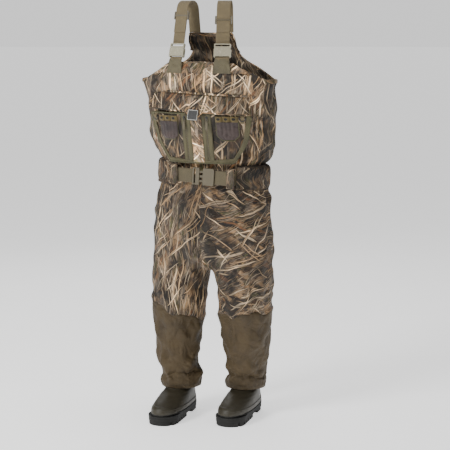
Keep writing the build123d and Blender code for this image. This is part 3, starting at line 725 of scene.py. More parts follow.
def waves(points, seed, size, count=9, stretch=(1, 1, 1)):
    """Smooth pseudo-random field from a few sine waves, about -1 to 1."""
    rng = np.random.default_rng(seed)
    field = np.zeros(len(points))
    for _ in range(count):
        direction = rng.normal(size=3) / np.array(stretch)
        direction *= 2 * math.pi / size / np.linalg.norm(direction) * rng.uniform(0.6, 1.5)
        field += np.sin(points @ direction + rng.uniform(0, 6.28))
    return field / math.sqrt(count)


def bumped(t, width):
    return np.exp(-(t / width) ** 2)


def garment_object(g):
    mesh = bpy.data.meshes.new("fabric")
    mesh.from_pydata(g.verts, [], g.faces)
    obj = link(bpy.data.objects.new("fabric", mesh))
    fix_normals(obj)
    return obj


def vertex_normals(mesh):
    normals = np.zeros(len(mesh.vertices) * 3)
    mesh.vertices.foreach_get("normal", normals)
    return normals.reshape(-1, 3)


def coordinates(mesh):
    points = np.zeros(len(mesh.vertices) * 3)
    mesh.vertices.foreach_get("co", points)
    return points.reshape(-1, 3)


def draped(obj, edges):
    """Cloth run: extra length buckles into folds between the seams, belt and cuffs that hold it."""
    base = coordinates(obj.data)
    scene = bpy.context.scene
    held = np.zeros(len(base))
    for name in ("front", "back", "armpit", "cuff1", "cuff-1"):
        held[edges[name]] = 1.0
    held = np.maximum(held, bumped(base[:, 2] - BELT_Z, 0.012))
    angle = np.degrees(np.arctan2(base[:, 0] / 0.22, -(base[:, 1] - BODY_Y) / 0.13))
    chest = (np.abs(angle) < 52) & (base[:, 2] > 0.925) & (base[:, 2] < 1.185)
    held[chest] = np.maximum(held[chest], 0.55)
    held = np.maximum(held, 0.35 * (base[:, 2] > 1.20))
    held = np.maximum(held, smoothstep((0.150 - base[:, 2]) / 0.03))
    group = obj.vertex_groups.new(name="held")
    for i in np.nonzero(held > 0.02)[0]:
        group.add([int(i)], float(held[i]), "REPLACE")
    cloth = obj.modifiers.new("cloth", "CLOTH")
    s = cloth.settings
    s.quality = 5
    s.mass = 0.25
    s.air_damping = 2.5
    s.tension_stiffness = 40
    s.compression_stiffness = 22
    s.shear_stiffness = 14
    s.bending_stiffness = 0.9
    s.vertex_group_mass = "held"
    s.pin_stiffness = 1.0
    s.shrink_min = -0.10
    s.use_pressure = True
    s.uniform_pressure_force = 0.25
    cloth.collision_settings.use_collision = False
    cloth.collision_settings.use_self_collision = False
    cloth.point_cache.frame_start = 1
    cloth.point_cache.frame_end = CLOTH_FRAMES
    for frame_number in range(1, CLOTH_FRAMES + 1):
        scene.frame_set(frame_number)
    shape = obj.evaluated_get(bpy.context.evaluated_depsgraph_get())
    result = coordinates(shape.data)
    obj.modifiers.clear()
    scene.frame_set(1)
    move = result - base
    size = np.linalg.norm(move, axis=1)
    limit = 0.020
    scale = np.where(size > 1e-9, limit * np.tanh(size / limit) / np.maximum(size, 1e-9), 1.0)
    return base + move * scale[:, None]


def ridge(phase):
    """Fold section: narrow raised crest and wide hollow, about -0.5 to 1."""
    return 1.5 * (1 - np.abs(np.sin(phase / 2))) ** 1.6 - 0.5


def add_folds(points, base, normals, flat, side_of):
    """Sewn-in gathers, knee and ankle creases that the short cloth run is too coarse for."""
    u, z = flat[:, 0], base[:, 2]
    move = 0.0026 * waves(base, 3, 0.070, 10, (1, 1, 0.55))
    low_leg = smoothstep((0.41 - z) / 0.05)
    patchy = np.clip(0.55 + 0.55 * waves(base, 8, 0.12), 0, 1.4)
    slant = z * 62 + u * 40 * side_of + 2.2 * waves(base, 5, 0.17)
    other = z * 70 - u * 34 * side_of + 2.4 * waves(base, 15, 0.19)
    move += low_leg * patchy * 0.0068 * ridge(slant)
    move += low_leg * (1.2 - patchy) * 0.0056 * ridge(other)
    ankle = bumped(z - 0.180, 0.035)
    move += 0.0055 * ankle * ridge(z * 170 + 2.0 * waves(base, 21, 0.14))
    knee = bumped(z - 0.45, 0.07)
    move += 0.0056 * knee * ridge(z * 95 - u * 18 * side_of + 2.4 * waves(base, 6, 0.13))
    gather = bumped(z - (BELT_Z - 0.055), 0.05) + bumped(z - (BELT_Z + 0.052), 0.04)
    move += 0.0050 * gather * np.sin(u * 150 + 2.6 * waves(base, 9, 0.10, 9, (1, 1, 0.3)))
    thigh = bumped(z - 0.67, 0.12)
    move += 0.0062 * thigh * ridge(u * 46 + z * 30 * side_of + 2.6 * waves(base, 12, 0.20))
    seat = bumped(z - 0.78, 0.08)
    move += 0.0050 * seat * ridge(z * 64 + u * 20 * side_of + 2.4 * waves(base, 17, 0.16))
    angle = np.degrees(np.arctan2(base[:, 0] / 0.22, -(base[:, 1] - BODY_Y) / 0.13))
    flank = smoothstep((np.abs(angle) - 50) / 16) * bumped(z - 1.04, 0.13)
    move += 0.0075 * flank * ridge(z * 58 + u * 14 + 2.2 * waves(base, 19, 0.22))
    front = base[:, 1] < BODY_Y
    rise = smoothstep((z - 0.58) / 0.05) * smoothstep((0.86 - z) / 0.10)
    offset = base[:, 0] + 0.010 * np.sin(z * 30)
    move -= 0.015 * bumped(offset, 0.018) * rise * front
    move += 0.008 * bumped(np.abs(offset) - 0.036, 0.018) * rise * front
    edge = smoothstep((z - 0.095) / 0.05)
    return points + normals * (move * (0.15 + 0.85 * edge))[:, None]


def part_of(g, points, kinds, name, materials):
    """Mesh of some of the garment's faces, with its flat layout carried over."""
    chosen = [f for f, kind in zip(g.faces, g.kinds) if kind in kinds]
    used = sorted({i for face in chosen for i in face})
    index = {old: new for new, old in enumerate(used)}
    mesh = bpy.data.meshes.new(name)
    mesh.from_pydata([tuple(points[i]) for i in used], [], [tuple(index[i] for i in f) for f in chosen])
    for material in materials.values():
        mesh.materials.append(material)
    slots = {kind: i for i, kind in enumerate(materials)}
    layer = mesh.uv_layers.new(name="flat")
    picked = [kind for kind in g.kinds if kind in kinds]
    for polygon, kind in zip(mesh.polygons, picked):
        polygon.material_index = slots[kind]
        spots = [g.flat[used[mesh.loops[k].vertex_index]] for k in polygon.loop_indices]
        wrap = GIRTH if max(spot[1] for spot in spots) > SPLIT_Z + 0.001 else EDGES["leg_wrap"]
        reach = max(s[0] for s in spots)
        for k, spot in zip(polygon.loop_indices, spots):
            u = spot[0] + wrap if reach - spot[0] > wrap / 2 else spot[0]
            layer.data[k].uv = (u, spot[1])
    mesh.shade_smooth()
    obj = link(bpy.data.objects.new(name, mesh))
    fix_normals(obj)
    return obj


garment, EDGES = build_garment()
fabric = garment_object(garment)
BASE = coordinates(fabric.data)
NORMALS = vertex_normals(fabric.data)
FLAT = np.array(garment.flat)
for index in EDGES["crotch"]:
    FLAT[index] = (GIRTH / 2 + 0.05, BASE[index][2])
garment.flat = [tuple(f) for f in FLAT]
SHAPE = draped(fabric, EDGES)
SHAPE = add_folds(SHAPE, BASE, NORMALS, FLAT, np.sign(BASE[:, 0] + 1e-6))
bpy.data.objects.remove(fabric)
body = part_of(garment, SHAPE, ("body", "bib", "left", "right"), "wader_body",
               {"body": CAMO_BODY_SHADED, "bib": CAMO_BIB_LIT, "left": CAMO_LEFT, "right": CAMO_RIGHT})
shins = part_of(garment, SHAPE, ("shin",), "wader_shins", {"shin": BROWN_NYLON})
for obj, inner in ((body, CAMO_INNER), (shins, LINING)):
    modifier(obj, "SUBSURF", "smooth", levels=1, render_levels=1)
    obj.data.materials.append(inner)
    modifier(obj, "SOLIDIFY", "thickness", thickness=0.0030, offset=-1.0,
             material_offset=len(obj.data.materials) - 1, material_offset_rim=0)
place(body, ROOT, "marsh_camo_fabric",
      "bib_front", "back_panel", "back_yoke", "bib_side_left", "bib_side_right",
      "trouser_front_left", "trouser_front_right", "trouser_back_left", "trouser_back_right",
      "crotch_gusset", "thigh_left", "thigh_right", "lining_front", "lining_back")
place(shins, ROOT, "brown_nylon", "shin_left", "shin_right")


def edge_path(name, count):
    return smooth_path(SHAPE[EDGES[name]][::3], count)


def outward(points, centre=(0.0, BODY_Y + 0.0)):
    """Level normals that point away from the body's middle."""
    away = np.asarray(points) - np.array([*centre, 0.0])
    away[:, 2] = 0
    away[:, 0] /= 2.6
    return away / np.linalg.norm(away, axis=1)[:, None]


# ---- bindings and hem -------------------------------------------------------------------
def wrap_profile(width, depth):
    """Binding folded over a fabric edge."""
    return [(-depth / 2, -width), (-depth / 2 - 0.0004, -width * 0.4), (-depth / 2, 0.001), (0, 0.0028),
            (depth / 2, 0.001), (depth / 2 + 0.0004, -width * 0.4), (depth / 2, -width)]


def edge_binding(name, points, material, width=0.011, depth=0.0062):
    """Folded strip along an edge, open towards the fabric."""
    points, tangents, _, _ = path_frames(points)
    away = outward(points)
    up = np.cross(tangents, away)
    up /= np.linalg.norm(up, axis=1)[:, None]
    up = np.where(up[:, 2:3] < 0, -up, up)
    profile = np.array(wrap_profile(width, depth))
    grid = points[:, None] + profile[None, :, :1] * away[:, None] + profile[None, :, 1:] * up[:, None]
    return grid_object(name, grid, material)


front_edge = edge_path("front", 160)
back_edge = edge_path("back", 200)
hem_parts = [edge_binding("front_binding", front_edge, CAMO_HEM)]
hem_parts.append(edge_binding("back_binding", back_edge, CAMO_HEM))
for side in (1, -1):
    arc = [SHAPE[EDGES["armpit"][(side * i) % COLUMNS]] for i in range(OPEN, COLUMNS // 2 - OPEN + 1)]
    hem_parts.append(edge_binding("armpit_binding", smooth_path(arc, 40), CAMO_HEM))
hem_rows = []
for z in np.linspace(1.243, 1.279, 5):
    limit = np.interp(z, [1.243, 1.279], [46, 30.5])
    row = []
    for t in np.linspace(-1, 1, 61):
        x, y = on_ring(smooth_ring(FRONT_TOP, min(z, 1.278)), math.radians(limit * t), 0.0032)
        lift = 0.004 * (1 - t * t) * (z - 1.220) / 0.058
        row.append((x, y, z + lift + 0.0012 * math.sin(t * 19 + z * 60)))
    hem_rows.append(row)
hem_rows = np.array(hem_rows)
hem = grid_object("bib_hem_band", hem_rows, CAMO_HEM)
thicken(hem, 0.0016)
hem_parts.append(hem)
hem_parts.append(stitches("hem_stitches", hem_rows[0] + [0, -0.0010, 0.0022], outward(hem_rows[0]), THREAD))
for part in hem_parts:
    place(part, ROOT, "marsh_camo_fabric")
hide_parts("bib_hem")


# ---- chest pocket -----------------------------------------------------------------------
POUCH_LOW = (0.930, 0.216, 0.148, 0.032)
POUCH_HIGH = (1.135, 0.256, 0.162, -0.005)
POUCH_TOP_Z = 1.106


def pouch_ring(z):
    t = (z - POUCH_LOW[0]) / (POUCH_HIGH[0] - POUCH_LOW[0])
    return [a + (b - a) * t for a, b in zip(POUCH_LOW[1:], POUCH_HIGH[1:])]


def pouch_point(angle, z, grow=0.0):
    return np.array([*on_ring(pouch_ring(z), angle, grow), z])


def pouch_at(x, z, grow=0.0):
    half_x = pouch_ring(z)[0] + grow
    return pouch_point(math.asin(x / half_x), z, grow)


def pouch_limit(z):
    """Angle of the pocket's side edge, drawn in towards its bottom corners."""
    t = (z - 0.932) / (POUCH_TOP_Z - 0.932)
    return math.radians(33.5 + 14.0 * smoothstep(0.12 + t / 0.62) + 0.6 * math.sin(t * 9))


def pouch_normal(angle, z):
    half_x, half_y, _ = pouch_ring(z)
    n = np.array([math.sin(angle) / half_x, -math.cos(angle) / half_y, 0.0])
    return n / np.linalg.norm(n)


face_rows = []
for z in np.linspace(0.932, POUCH_TOP_Z, 48):
    row = []
    for t in np.linspace(-1, 1, 121):
        angle = pouch_limit(z) * t
        low = smoothstep((z - 0.932) / 0.03)
        fade = low * smoothstep((1 - abs(t)) / 0.06)
        soft = 0.0016 * math.sin(angle * 21 + z * 37) + 0.0012 * math.sin(angle * 47 - z * 61)
        bulge = 0.0025 * math.sin(math.pi * (z - 0.932) / 0.17) * math.cos(angle * 1.6)
        row.append(pouch_point(angle, z, -0.0012 + fade * (soft * 0.8 + bulge * 0.5 - 0.0012)))
    face_rows.append(row)
pocket = grid_object("pocket_panel", face_rows, CAMO_SHADED)
thicken(pocket, 0.0022)
place(pocket, ROOT, "marsh_camo_fabric", "pocket_face")

border = [(-pouch_limit(z), z) for z in np.linspace(POUCH_TOP_Z, 0.936, 40)]
border += [(a, 0.932) for a in np.linspace(-pouch_limit(0.932), pouch_limit(0.932), 90)[1:-1]]
border += [(pouch_limit(z), z) for z in np.linspace(0.936, POUCH_TOP_Z, 40)]
rim = np.array([pouch_point(a, z) for a, z in border])
rim_normals = np.array([pouch_normal(a, z) for a, z in border])
gusset_rows = []
for depth in np.linspace(0, 1, 9):
    row = []
    for (a, z), edge in zip(border, rim):
        wall = torso_point(a, z, 0.0004)
        side_way = np.array([math.sin(a) * 0.7, 0, -0.6 if abs(z - 0.932) < 0.01 else 0.0])
        pleat = 0.007 * abs(math.sin(depth * math.pi * 2)) - 0.002
        row.append(edge * (1 - depth) + wall * depth + side_way * pleat)
    gusset_rows.append(row)
gusset = grid_object("pocket_bellows", gusset_rows, CAMO_SHADED)
thicken(gusset, 0.0016)
place(gusset, ROOT, "marsh_camo_fabric", "pocket_gussets")
binding = sweep("pocket_binding", smooth_path(rim[::3], 220), round_profile(0.0036, 10, 0.9), OLIVE_TRIM,
                outward(smooth_path(rim[::3], 220)))
place(binding, ROOT, "olive_webbing")
seam = np.array([pouch_point(a * 0.972, z + 0.004, 0.0012) for a, z in border])
place(stitches("pocket_stitches", seam, rim_normals, THREAD), ROOT, "olive_webbing")
mouth = np.array([pouch_point(a, POUCH_TOP_Z, -0.001) for a in np.linspace(-0.83, 0.83, 140)])
place(sweep("pocket_mouth_binding", mouth, round_profile(0.0032, 8), OLIVE_TRIM, outward(mouth)),
      ROOT, "olive_webbing")

# Zips: two cloth tapes and a coil each, on the pocket's face.
ZIP_X = 0.038
BOX_CORNERS = [(x, y, z) for z in (-1, 1) for x, y in ((-1, -1), (1, -1), (1, 1), (-1, 1))]
BOX_FACES = ((0, 3, 2, 1), (4, 5, 6, 7), (0, 1, 5, 4), (1, 2, 6, 5), (2, 3, 7, 6), (3, 0, 4, 7))
zip_parts = []
for side in (1, -1):
    name = "left" if side > 0 else "right"
    for edge in (-1, 1):
        rows = []
        for z in np.linspace(0.940, 1.103, 60):
            rows.append([pouch_at(side * ZIP_X + edge * x, z, 0.0012 + 0.0008 * math.sin(x * 190))
                         for x in np.linspace(0.0016, 0.0180, 6)])
        tape = grid_object(f"zip_tape_{name}", rows, ZIP_CLOTH)
        thicken(tape, 0.0012, 1.0)
        zip_parts.append(tape)
        for at in (0.0060, 0.0165):
            line = np.array([pouch_at(side * ZIP_X + edge * at, z, 0.0026)
                             for z in np.linspace(0.942, 1.101, 40)])
            zip_parts.append(stitches("zip_stitches", line, outward(line), DARK_THREAD, 0.0036, 0.0024))
    teeth_v, teeth_f = [], []
    for k, z in enumerate(np.arange(0.943, 1.100, 0.0021)):
        centre = pouch_at(side * ZIP_X + (0.0008 if k % 2 else -0.0008), z, 0.0018)
        box = Matrix.Translation(Vector(centre)) @ Matrix.Diagonal((0.0019, 0.0012, 0.0007, 1))
        start = len(teeth_v)
        teeth_v += [box @ Vector(corner) for corner in BOX_CORNERS]
        teeth_f += [tuple(start + i for i in face) for face in BOX_FACES]
    zip_parts.append(mesh_object(f"zip_coil_{name}", teeth_v, teeth_f, None, OLIVE_PLASTIC, False))
for part in zip_parts:
    place(part, ROOT, "zip_fabric")
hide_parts("zip_tapes")

rows = [[pouch_at(x, z, 0.0009 + 0.0012 * math.cos(x * 70) + 0.0006 * math.sin(z * 70 + x * 60))
         for x in np.linspace(-0.0205, 0.0205, 16)] for z in np.linspace(0.934, 1.104, 50)]
strip_between = grid_object("pocket_middle_strip", rows, CAMO_STRIP)
thicken(strip_between, 0.0010, 1.0)
place(strip_between, ROOT, "marsh_camo_fabric")
BORDER_WIDTH = 0.017
inner_border = []
for a, z in border:
    inner_a = a * (1 - BORDER_WIDTH / 0.178)
    inner_z = max(z, 0.932 + BORDER_WIDTH * (0.35 + 0.65 * abs(a) / 0.69))
    inner_border.append((inner_a, inner_z))
rows = []
for t in np.linspace(0, 1, 6):
    rows.append([pouch_point(a * (1 - t) + b * t, z * (1 - t) + w * t,
                             0.0006 + 0.0012 * math.sin(math.pi * t))
                 for (a, z), (b, w) in zip(border, inner_border)])
olive_border = grid_object("pocket_border", rows, ZIP_CLOTH)
thicken(olive_border, 0.0010, 1.0)
fix_normals(olive_border)
place(olive_border, ROOT, "zip_fabric")
line = np.array([pouch_point(b * 1.006, w - 0.001, 0.0022) for b, w in inner_border])
place(stitches("border_stitches", line, rim_normals, THREAD), ROOT, "zip_fabric")

# Shell pockets: two pleated bags with a row of elastic loops across the top of each.
LOOPS_X, LOOPS_WIDTH = 0.071, 0.076
for side in (1, -1):
    name = "left" if side > 0 else "right"
    rows = []
    for z in np.linspace(1.0125, 1.078, 30):
        t = (z - 1.0125) / 0.0655
        round_in = 0.016 * (1 - smoothstep(t / 0.30))
        row = []
        for s in np.linspace(0, 1, 45):
            x = 0.072 + round_in + (0.074 - 2 * round_in) * s
            swell = math.sin(math.pi * s) ** 0.45 * smoothstep(t / 0.16) if 0 < s < 1 else 0
            pleat = 0.0010 * math.sin(s * 34) + 0.0007 * math.sin(t * 17 + s * 9)
            row.append(pouch_at(side * x, z, 0.0006 + 0.0078 * swell + pleat * swell))
        rows.append(row)
    bag = grid_object(f"shell_pocket_{name}", rows, PLUM_CLOTH)
    thicken(bag, 0.0016)
    place(bag, ROOT, "marsh_camo_fabric")
    if side > 0:
        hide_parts("shell_pockets")
    outline = [rows[j][0] for j in range(29, 0, -1)] + list(rows[0]) + [rows[j][-1] for j in range(1, 30)]
    line = smooth_path(np.array(outline)[::2] + outward(np.array(outline)[::2]) * 0.001, 90)
    place(sweep(f"shell_edge_{name}", line, round_profile(0.0018, 8), OLIVE_TRIM, outward(line)),
          ROOT, "olive_webbing")
    rows = []
    for z in np.linspace(1.0775, 1.0975, 7):
        row = []
        for s in np.linspace(0, 1, 91):
            x = LOOPS_X + LOOPS_WIDTH * s
            loop = abs(math.sin(s * math.pi * 3)) ** 0.6
            row.append(pouch_at(side * x, z, 0.0012 + 0.0066 * loop))
        rows.append(row)
    loops = grid_object(f"shell_loops_{name}", rows, GOLD_ELASTIC)
    thicken(loops, 0.0014)
    place(loops, ROOT, "olive_webbing")
    if side > 0:
        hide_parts("shell_loops")
    for s in (1 / 6, 1 / 2, 5 / 6):
        middle_x = side * (LOOPS_X + LOOPS_WIDTH * s)
        hole = [pouch_at(middle_x + 0.0066 * math.cos(a), 1.0885 + 0.0052 * math.sin(a), 0.0098)
                for a in np.linspace(0, 2 * math.pi, 21)]
        ring = sweep("loop_hole_rim", hole, round_profile(0.0009, 6), GOLD_ELASTIC, outward(hole), True)
        # Black disc filling each loop's opening: painted shadow inside the loop.
        hole_shadow_disc = mesh_object("loop_hole", hole[:-1], [tuple(range(20))], [(0, 0)] * 20, SOLE)
        place(ring, ROOT, "olive_webbing")
        place(hole_shadow_disc, ROOT, "olive_webbing")
    for s in (0.0, 1 / 3, 2 / 3, 1.0):
        line = np.array([pouch_at(side * (LOOPS_X + LOOPS_WIDTH * s), z, 0.0018)
                         for z in np.linspace(1.078, 1.097, 12)])
        place(stitches("loop_bars", line, outward(line), THREAD, 0.0016, 0.0020, 0.0007),
              ROOT, "olive_webbing")


# ---- chest flap -------------------------------------------------------------------------
FLAP_TILT = math.radians(3)
FLAP_HALF_ANGLE = math.radians(47)
FLAP_DROP = 0.058
HINGE_Z = 1.170


def flap_tilt(points):
    """Points turned with the flap's slant, which makes its wearer's-left end hang lower."""
    turn = Matrix.Rotation(FLAP_TILT, 3, "Y")
    pivot = Vector((0, 0, HINGE_Z))
    return np.array([pivot + turn @ (Vector(p) - pivot) for p in points])


flap_low = pouch_ring(1.112)
FLAP_BOTTOM = [flap_low[0] + 0.0075, flap_low[1] + 0.0075, flap_low[2]]
hinge = smooth_ring(TORSO, HINGE_Z)
FLAP_TOP = [hinge[0] + 0.006, hinge[1] + 0.006, hinge[2]]


def flap_point(t, drop, grow=0.0):
    """Point on the flap: t from -1 to 1 across, drop from 0 at the hinge to 1 at the free edge."""
    angle = FLAP_HALF_ANGLE * t
    reach = 1 + 0.26 * smoothstep((0.16 - abs(t)) / 0.07)
    z = HINGE_Z - FLAP_DROP * drop * reach
    share = min(drop * reach, 1.25)
    ring = [a + (b - a) * share for a, b in zip(FLAP_TOP, FLAP_BOTTOM)]
    wave = 0.0016 * math.sin(t * 13 + 1.0) * drop + 0.0012 * math.sin(t * 29) * drop
    x, y = on_ring(ring, angle, grow - 0.0004 + wave + 0.0022 * math.sin(math.pi * min(drop, 1)))
    return (x, y, z)


def flap_row(drop, grow=0.0, count=141):
    return flap_tilt([flap_point(t, drop, grow) for t in np.linspace(-1, 1, count)])


flap = grid_object("flap_panel", [flap_row(d) for d in np.linspace(1, 0, 16)], CAMO_BIB_LIT)
thicken(flap, 0.0026)
place(flap, "chest_flap", "marsh_camo_fabric", "chest_flap")
flap_edge = np.vstack([flap_tilt([flap_point(-1, d) for d in np.linspace(0.1, 1, 12)]), flap_row(1.0)[1:-1],
                       flap_tilt([flap_point(1, d) for d in np.linspace(1, 0.1, 12)])])
flap_edge = smooth_path(flap_edge[::2], 220)
flap_trim = [sweep("flap_binding", flap_edge, round_profile(0.0022, 8), CAMO_BIB_LIT, outward(flap_edge))]
place(flap_trim[0], "chest_flap", "marsh_camo_fabric")
for drop in (0.80, 0.12):
    line = flap_row(drop, 0.0008)
    flap_trim.append(stitches("flap_stitches", line, outward(line), THREAD))
    place(flap_trim[-1], "chest_flap", "olive_webbing")
strip_rows = [flap_tilt([(*on_ring(FLAP_TOP, FLAP_HALF_ANGLE * t, out), z) for t in np.linspace(-1, 1, 100)])
              for out, z in ((-0.002, 1.1795), (0.0008, 1.178), (0.0012, 1.175), (0.0006, 1.1722))]
strip = grid_object("flap_seam_strip", strip_rows, CAMO_BIB_LIT)
place(strip, ROOT, "marsh_camo_fabric", "flap_seam")

g = Graph("patch_cloth")
tone = g.ramp(g.noise(g.position(), 120.0, 3.0),
              [(0.35, (0.020, 0.020, 0.020)), (0.7, (0.035, 0.034, 0.032))])
PATCH = g.finish(tone, 0.6, g.bump(weave(g, g.uv(), 0.0009), 0.4, 0.0004))
PATCH_RIM = thread("patch_rim", (0.55, 0.54, 0.50))
patch_rows = []
for d in np.linspace(1.14, 0.70, 12):
    patch_rows.append(flap_tilt([flap_point(t, d, 0.0016) for t in np.linspace(-0.082, 0.082, 12)]))
patch_rows = np.array(patch_rows)
patch = grid_object("blank_patch", patch_rows, PATCH)
thicken(patch, 0.0014, 1.0)
place(patch, "chest_flap", "patch", "flap_patch")
rim_line = np.vstack([patch_rows[0], patch_rows[1:, -1], patch_rows[-1][::-1][1:], patch_rows[::-1][1:, 0]])
rim_line = rim_line + outward(rim_line) * 0.0012
rim = sweep("patch_rim", resample(rim_line, 80), round_profile(0.0011, 6), PATCH_RIM,
            outward(resample(rim_line, 80)))
place(rim, "chest_flap", "patch")

# D-ring tabs: short webbing folded through each ring.
tab_loops = []
for side in (1, -1):
    across = np.array([math.cos(math.radians(24)), side * math.sin(math.radians(24)), 0])
    out = np.cross(across, [0, 0, 1])
    origin = pouch_at(side * 0.162, 1.093, 0.007)
    path = [origin + out * x + np.array([0, 0, z]) for x, z in
            ((-0.0055, -0.020), (-0.0035, -0.010), (0.0015, -0.0042), (0.0042, 0.0), (0.0015, 0.0042),
             (-0.0035, 0.010), (-0.0055, 0.020))]
    loop = smooth_path(path, 30)
    normals = loop - (origin - out * 0.004)
    tab_loops.append(sweep("ring_tab", loop, webbing_profile(0.013, 0.0016), OLIVE_WEB,
                           normals / np.linalg.norm(normals, axis=1)[:, None]))
for part in tab_loops:
    place(part, ROOT, "olive_webbing")
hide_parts("d_ring_tabs")


# ---- suspenders -------------------------------------------------------------------------
FOOT = np.array([0.086, -0.122 + BODY_Y, 1.285])
REAR = np.array([0.060, -0.008 + BODY_Y, 1.384])
SHOULDER_R = 0.034
STRAP_WIDTH = 0.048
STRAP_THICK = 0.0018
LAYER_OUT = -0.0026             # the front layer runs behind the shoulder webbing


class Strap:
    """Plane of one suspender and the run of its webbing."""

    def __init__(self, side):
        foot, rear = FOOT * [side, 1, 1], REAR * [side, 1, 1]
        level = rear - foot
        span = math.hypot(level[0], level[1])
        self.back_dir = np.array([level[0], level[1], 0]) / span
        centre = (0.62 * span, 1.494 - SHOULDER_R - FOOT[2])
        runs = []
        for (u, w), sign in (((0, 0), 1), ((span, REAR[2] - FOOT[2]), -1)):
            du, dw = centre[0] - u, centre[1] - w
            reach = math.hypot(du, dw)
            runs.append((math.atan2(dw, du) + sign * math.asin(SHOULDER_R / reach),
                         math.sqrt(reach**2 - SHOULDER_R**2)))
        self.origin, self.span, self.centre, self.runs = foot, span, centre, runs
        angle = runs[0][0]
        self.up = self.back_dir * math.cos(angle) + np.array([0, 0, math.sin(angle)])
        self.out = -self.back_dir * math.sin(angle) + np.array([0, 0, math.cos(angle)])
        self.across = np.cross(self.up, self.out)

    def at(self, across, along, out):
        """Point given across the webbing, along the front run and outwards."""
        return self.origin + self.across * across + self.up * along + self.out * out

    def over_shoulder(self, start=0.102):
        """Webbing path and its outward normals, from a distance up the front run to the back."""
        (front, length), (back, back_length) = self.runs
        points = [(math.cos(front) * d, math.sin(front) * d) for d in np.linspace(start, length, 30)]
        normals = [(-math.sin(front), math.cos(front))] * 30
        for a in np.linspace(front + math.pi / 2, back - math.pi / 2, 26)[1:-1]:
            way = (math.cos(a), math.sin(a))
            points.append((self.centre[0] + SHOULDER_R * way[0], self.centre[1] + SHOULDER_R * way[1]))
            normals.append(way)
        for d in np.linspace(back_length, 0, 22):
            points.append((self.span + math.cos(back) * d, REAR[2] - FOOT[2] + math.sin(back) * d))
            normals.append((math.sin(back), -math.cos(back)))
        points = [self.origin + self.back_dir * u + np.array([0, 0, w]) for u, w in points]
        normals = [self.back_dir * u + np.array([0, 0, w]) for u, w in normals]
        return np.array(points), np.array(normals)


for side in (1, -1):
    name = "left" if side > 0 else "right"
    strap = Strap(side)
    points, normals = strap.over_shoulder()
    ripple = np.array([0.0001 * math.sin(k * 0.31) for k in range(len(points))])
    profile = webbing_profile(STRAP_WIDTH, STRAP_THICK)
    band = sweep(f"shoulder_band_{name}", points + normals * ripple[:, None], profile, OLIVE_WEB, normals)
    place(band, ROOT, "olive_webbing", f"shoulder_webbing_{name}")
    height = ({"left": 1.428, "right": 1.443}[name] - FOOT[2]) / math.sin(strap.runs[0][0])
    layer = np.array([strap.at(0, d, LAYER_OUT) for d in np.linspace(0.0628, height - 0.001, 40)])
    layer_normals = np.tile(strap.out, (len(layer), 1))
    front_band = sweep(f"front_band_{name}", layer, profile, OLIVE_WEB, layer_normals)
    place(front_band, f"suspender_front_{name}", "olive_webbing", f"strap_front_{name}")
    for d in (0.070, 0.074, 0.086):
        line = np.array([strap.at(x, d, -0.0015) for x in np.linspace(-0.021, 0.021, 12)])
        place(stitches(f"band_tacks_{name}", line, np.tile(strap.out, (12, 1)), THREAD, 0.0032, 0.0024),
              f"suspender_front_{name}", "olive_webbing")
    rows = []
    for d in np.linspace(0.008, -0.042, 20):
        half = np.interp(d, [-0.042, 0.008], [0.0322, 0.0250])
        rows.append([strap.at(half * t, d, 0.0046 + 0.0004 * math.sin(t * 5 + d * 130))
                     for t in np.linspace(-1, 1, 15)])
    tab = grid_object(f"bib_tab_{name}", rows, TAB_CLOTH)
    thicken(tab, 0.0024, 0.0)
    place(tab, ROOT, "olive_webbing")
    if side > 0:
        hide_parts("bib_tabs")
    turns = ((0.002, 0.0046), (0.010, 0.0044), (0.0150, 0.0014), (0.0145, -0.0012), (0.004, 0.0006))
    fold = smooth_path([strap.at(0, d, o) for d, o in turns], 24)
    away = fold - strap.at(0, 0.008, 0.0012)
    tab_fold = sweep(f"tab_fold_{name}", fold, webbing_profile(0.047, 0.0018), OLIVE_WEB,
                     away / np.linalg.norm(away, axis=1)[:, None])
    place(tab_fold, ROOT, "olive_webbing")
    corners = [(-0.0215, 0.004), (0.0215, 0.004), (0.0282, -0.038), (-0.0282, -0.038)]
    corners = [strap.at(x, d, 0.0060) for x, d in corners]
    seams = (("tab_stitches", (0, 1, 2, 3, 0), 60), ("tab_cross", (0, 2), 40), ("tab_cross", (1, 3), 40))
    for seam_name, order, count in seams:
        line = resample(np.array([corners[k] for k in order]), count)
        away = np.tile(strap.out, (count, 1))
        place(stitches(f"{seam_name}_{name}", line, away, THREAD, 0.0036, 0.0026), ROOT, "olive_webbing")

anchor_rows = []
for z in np.linspace(1.344, 1.383, 8):
    ring = smooth_ring(YOKE, min(z, YOKE[-1][0]))
    anchor_rows.append([(*on_ring(ring, math.pi + math.radians(28.5) * t, 0.0032), z)
                        for t in np.linspace(-1, 1, 40)])
anchor = grid_object("yoke_patch", anchor_rows, TAB_CLOTH)
thicken(anchor, 0.0018, 0.0)
place(anchor, ROOT, "olive_webbing", "yoke_anchor")


# ---- belt -------------------------------------------------------------------------------
BELT_FRONT_Y = -0.122 + BODY_Y


def belt_tilt(points):
    turn = Matrix.Rotation(FLAP_TILT, 3, "Y")
    pivot = Vector((0, 0, BELT_Z))
    return np.array([pivot + turn @ (Vector(p) - pivot) for p in points])


def belt_ring(angle, grow=0.0):
    return (*on_ring([0.204, 0.130, 0.021], angle, grow), BELT_Z)


reach_left = math.asin(0.118 / 0.204)
reach_right = math.asin(0.095 / 0.204)
around = [belt_ring(a) for a in np.linspace(reach_left, 2 * math.pi - reach_right, 200)]
UP = np.array([0, 0, 1.0])


def level_band(name, points, material, width=0.050, thick=0.0026):
    """Upright band along a level path."""
    points = np.asarray(points)
    return sweep(name, belt_tilt(points), webbing_profile(width, thick), material, outward(belt_tilt(points)))


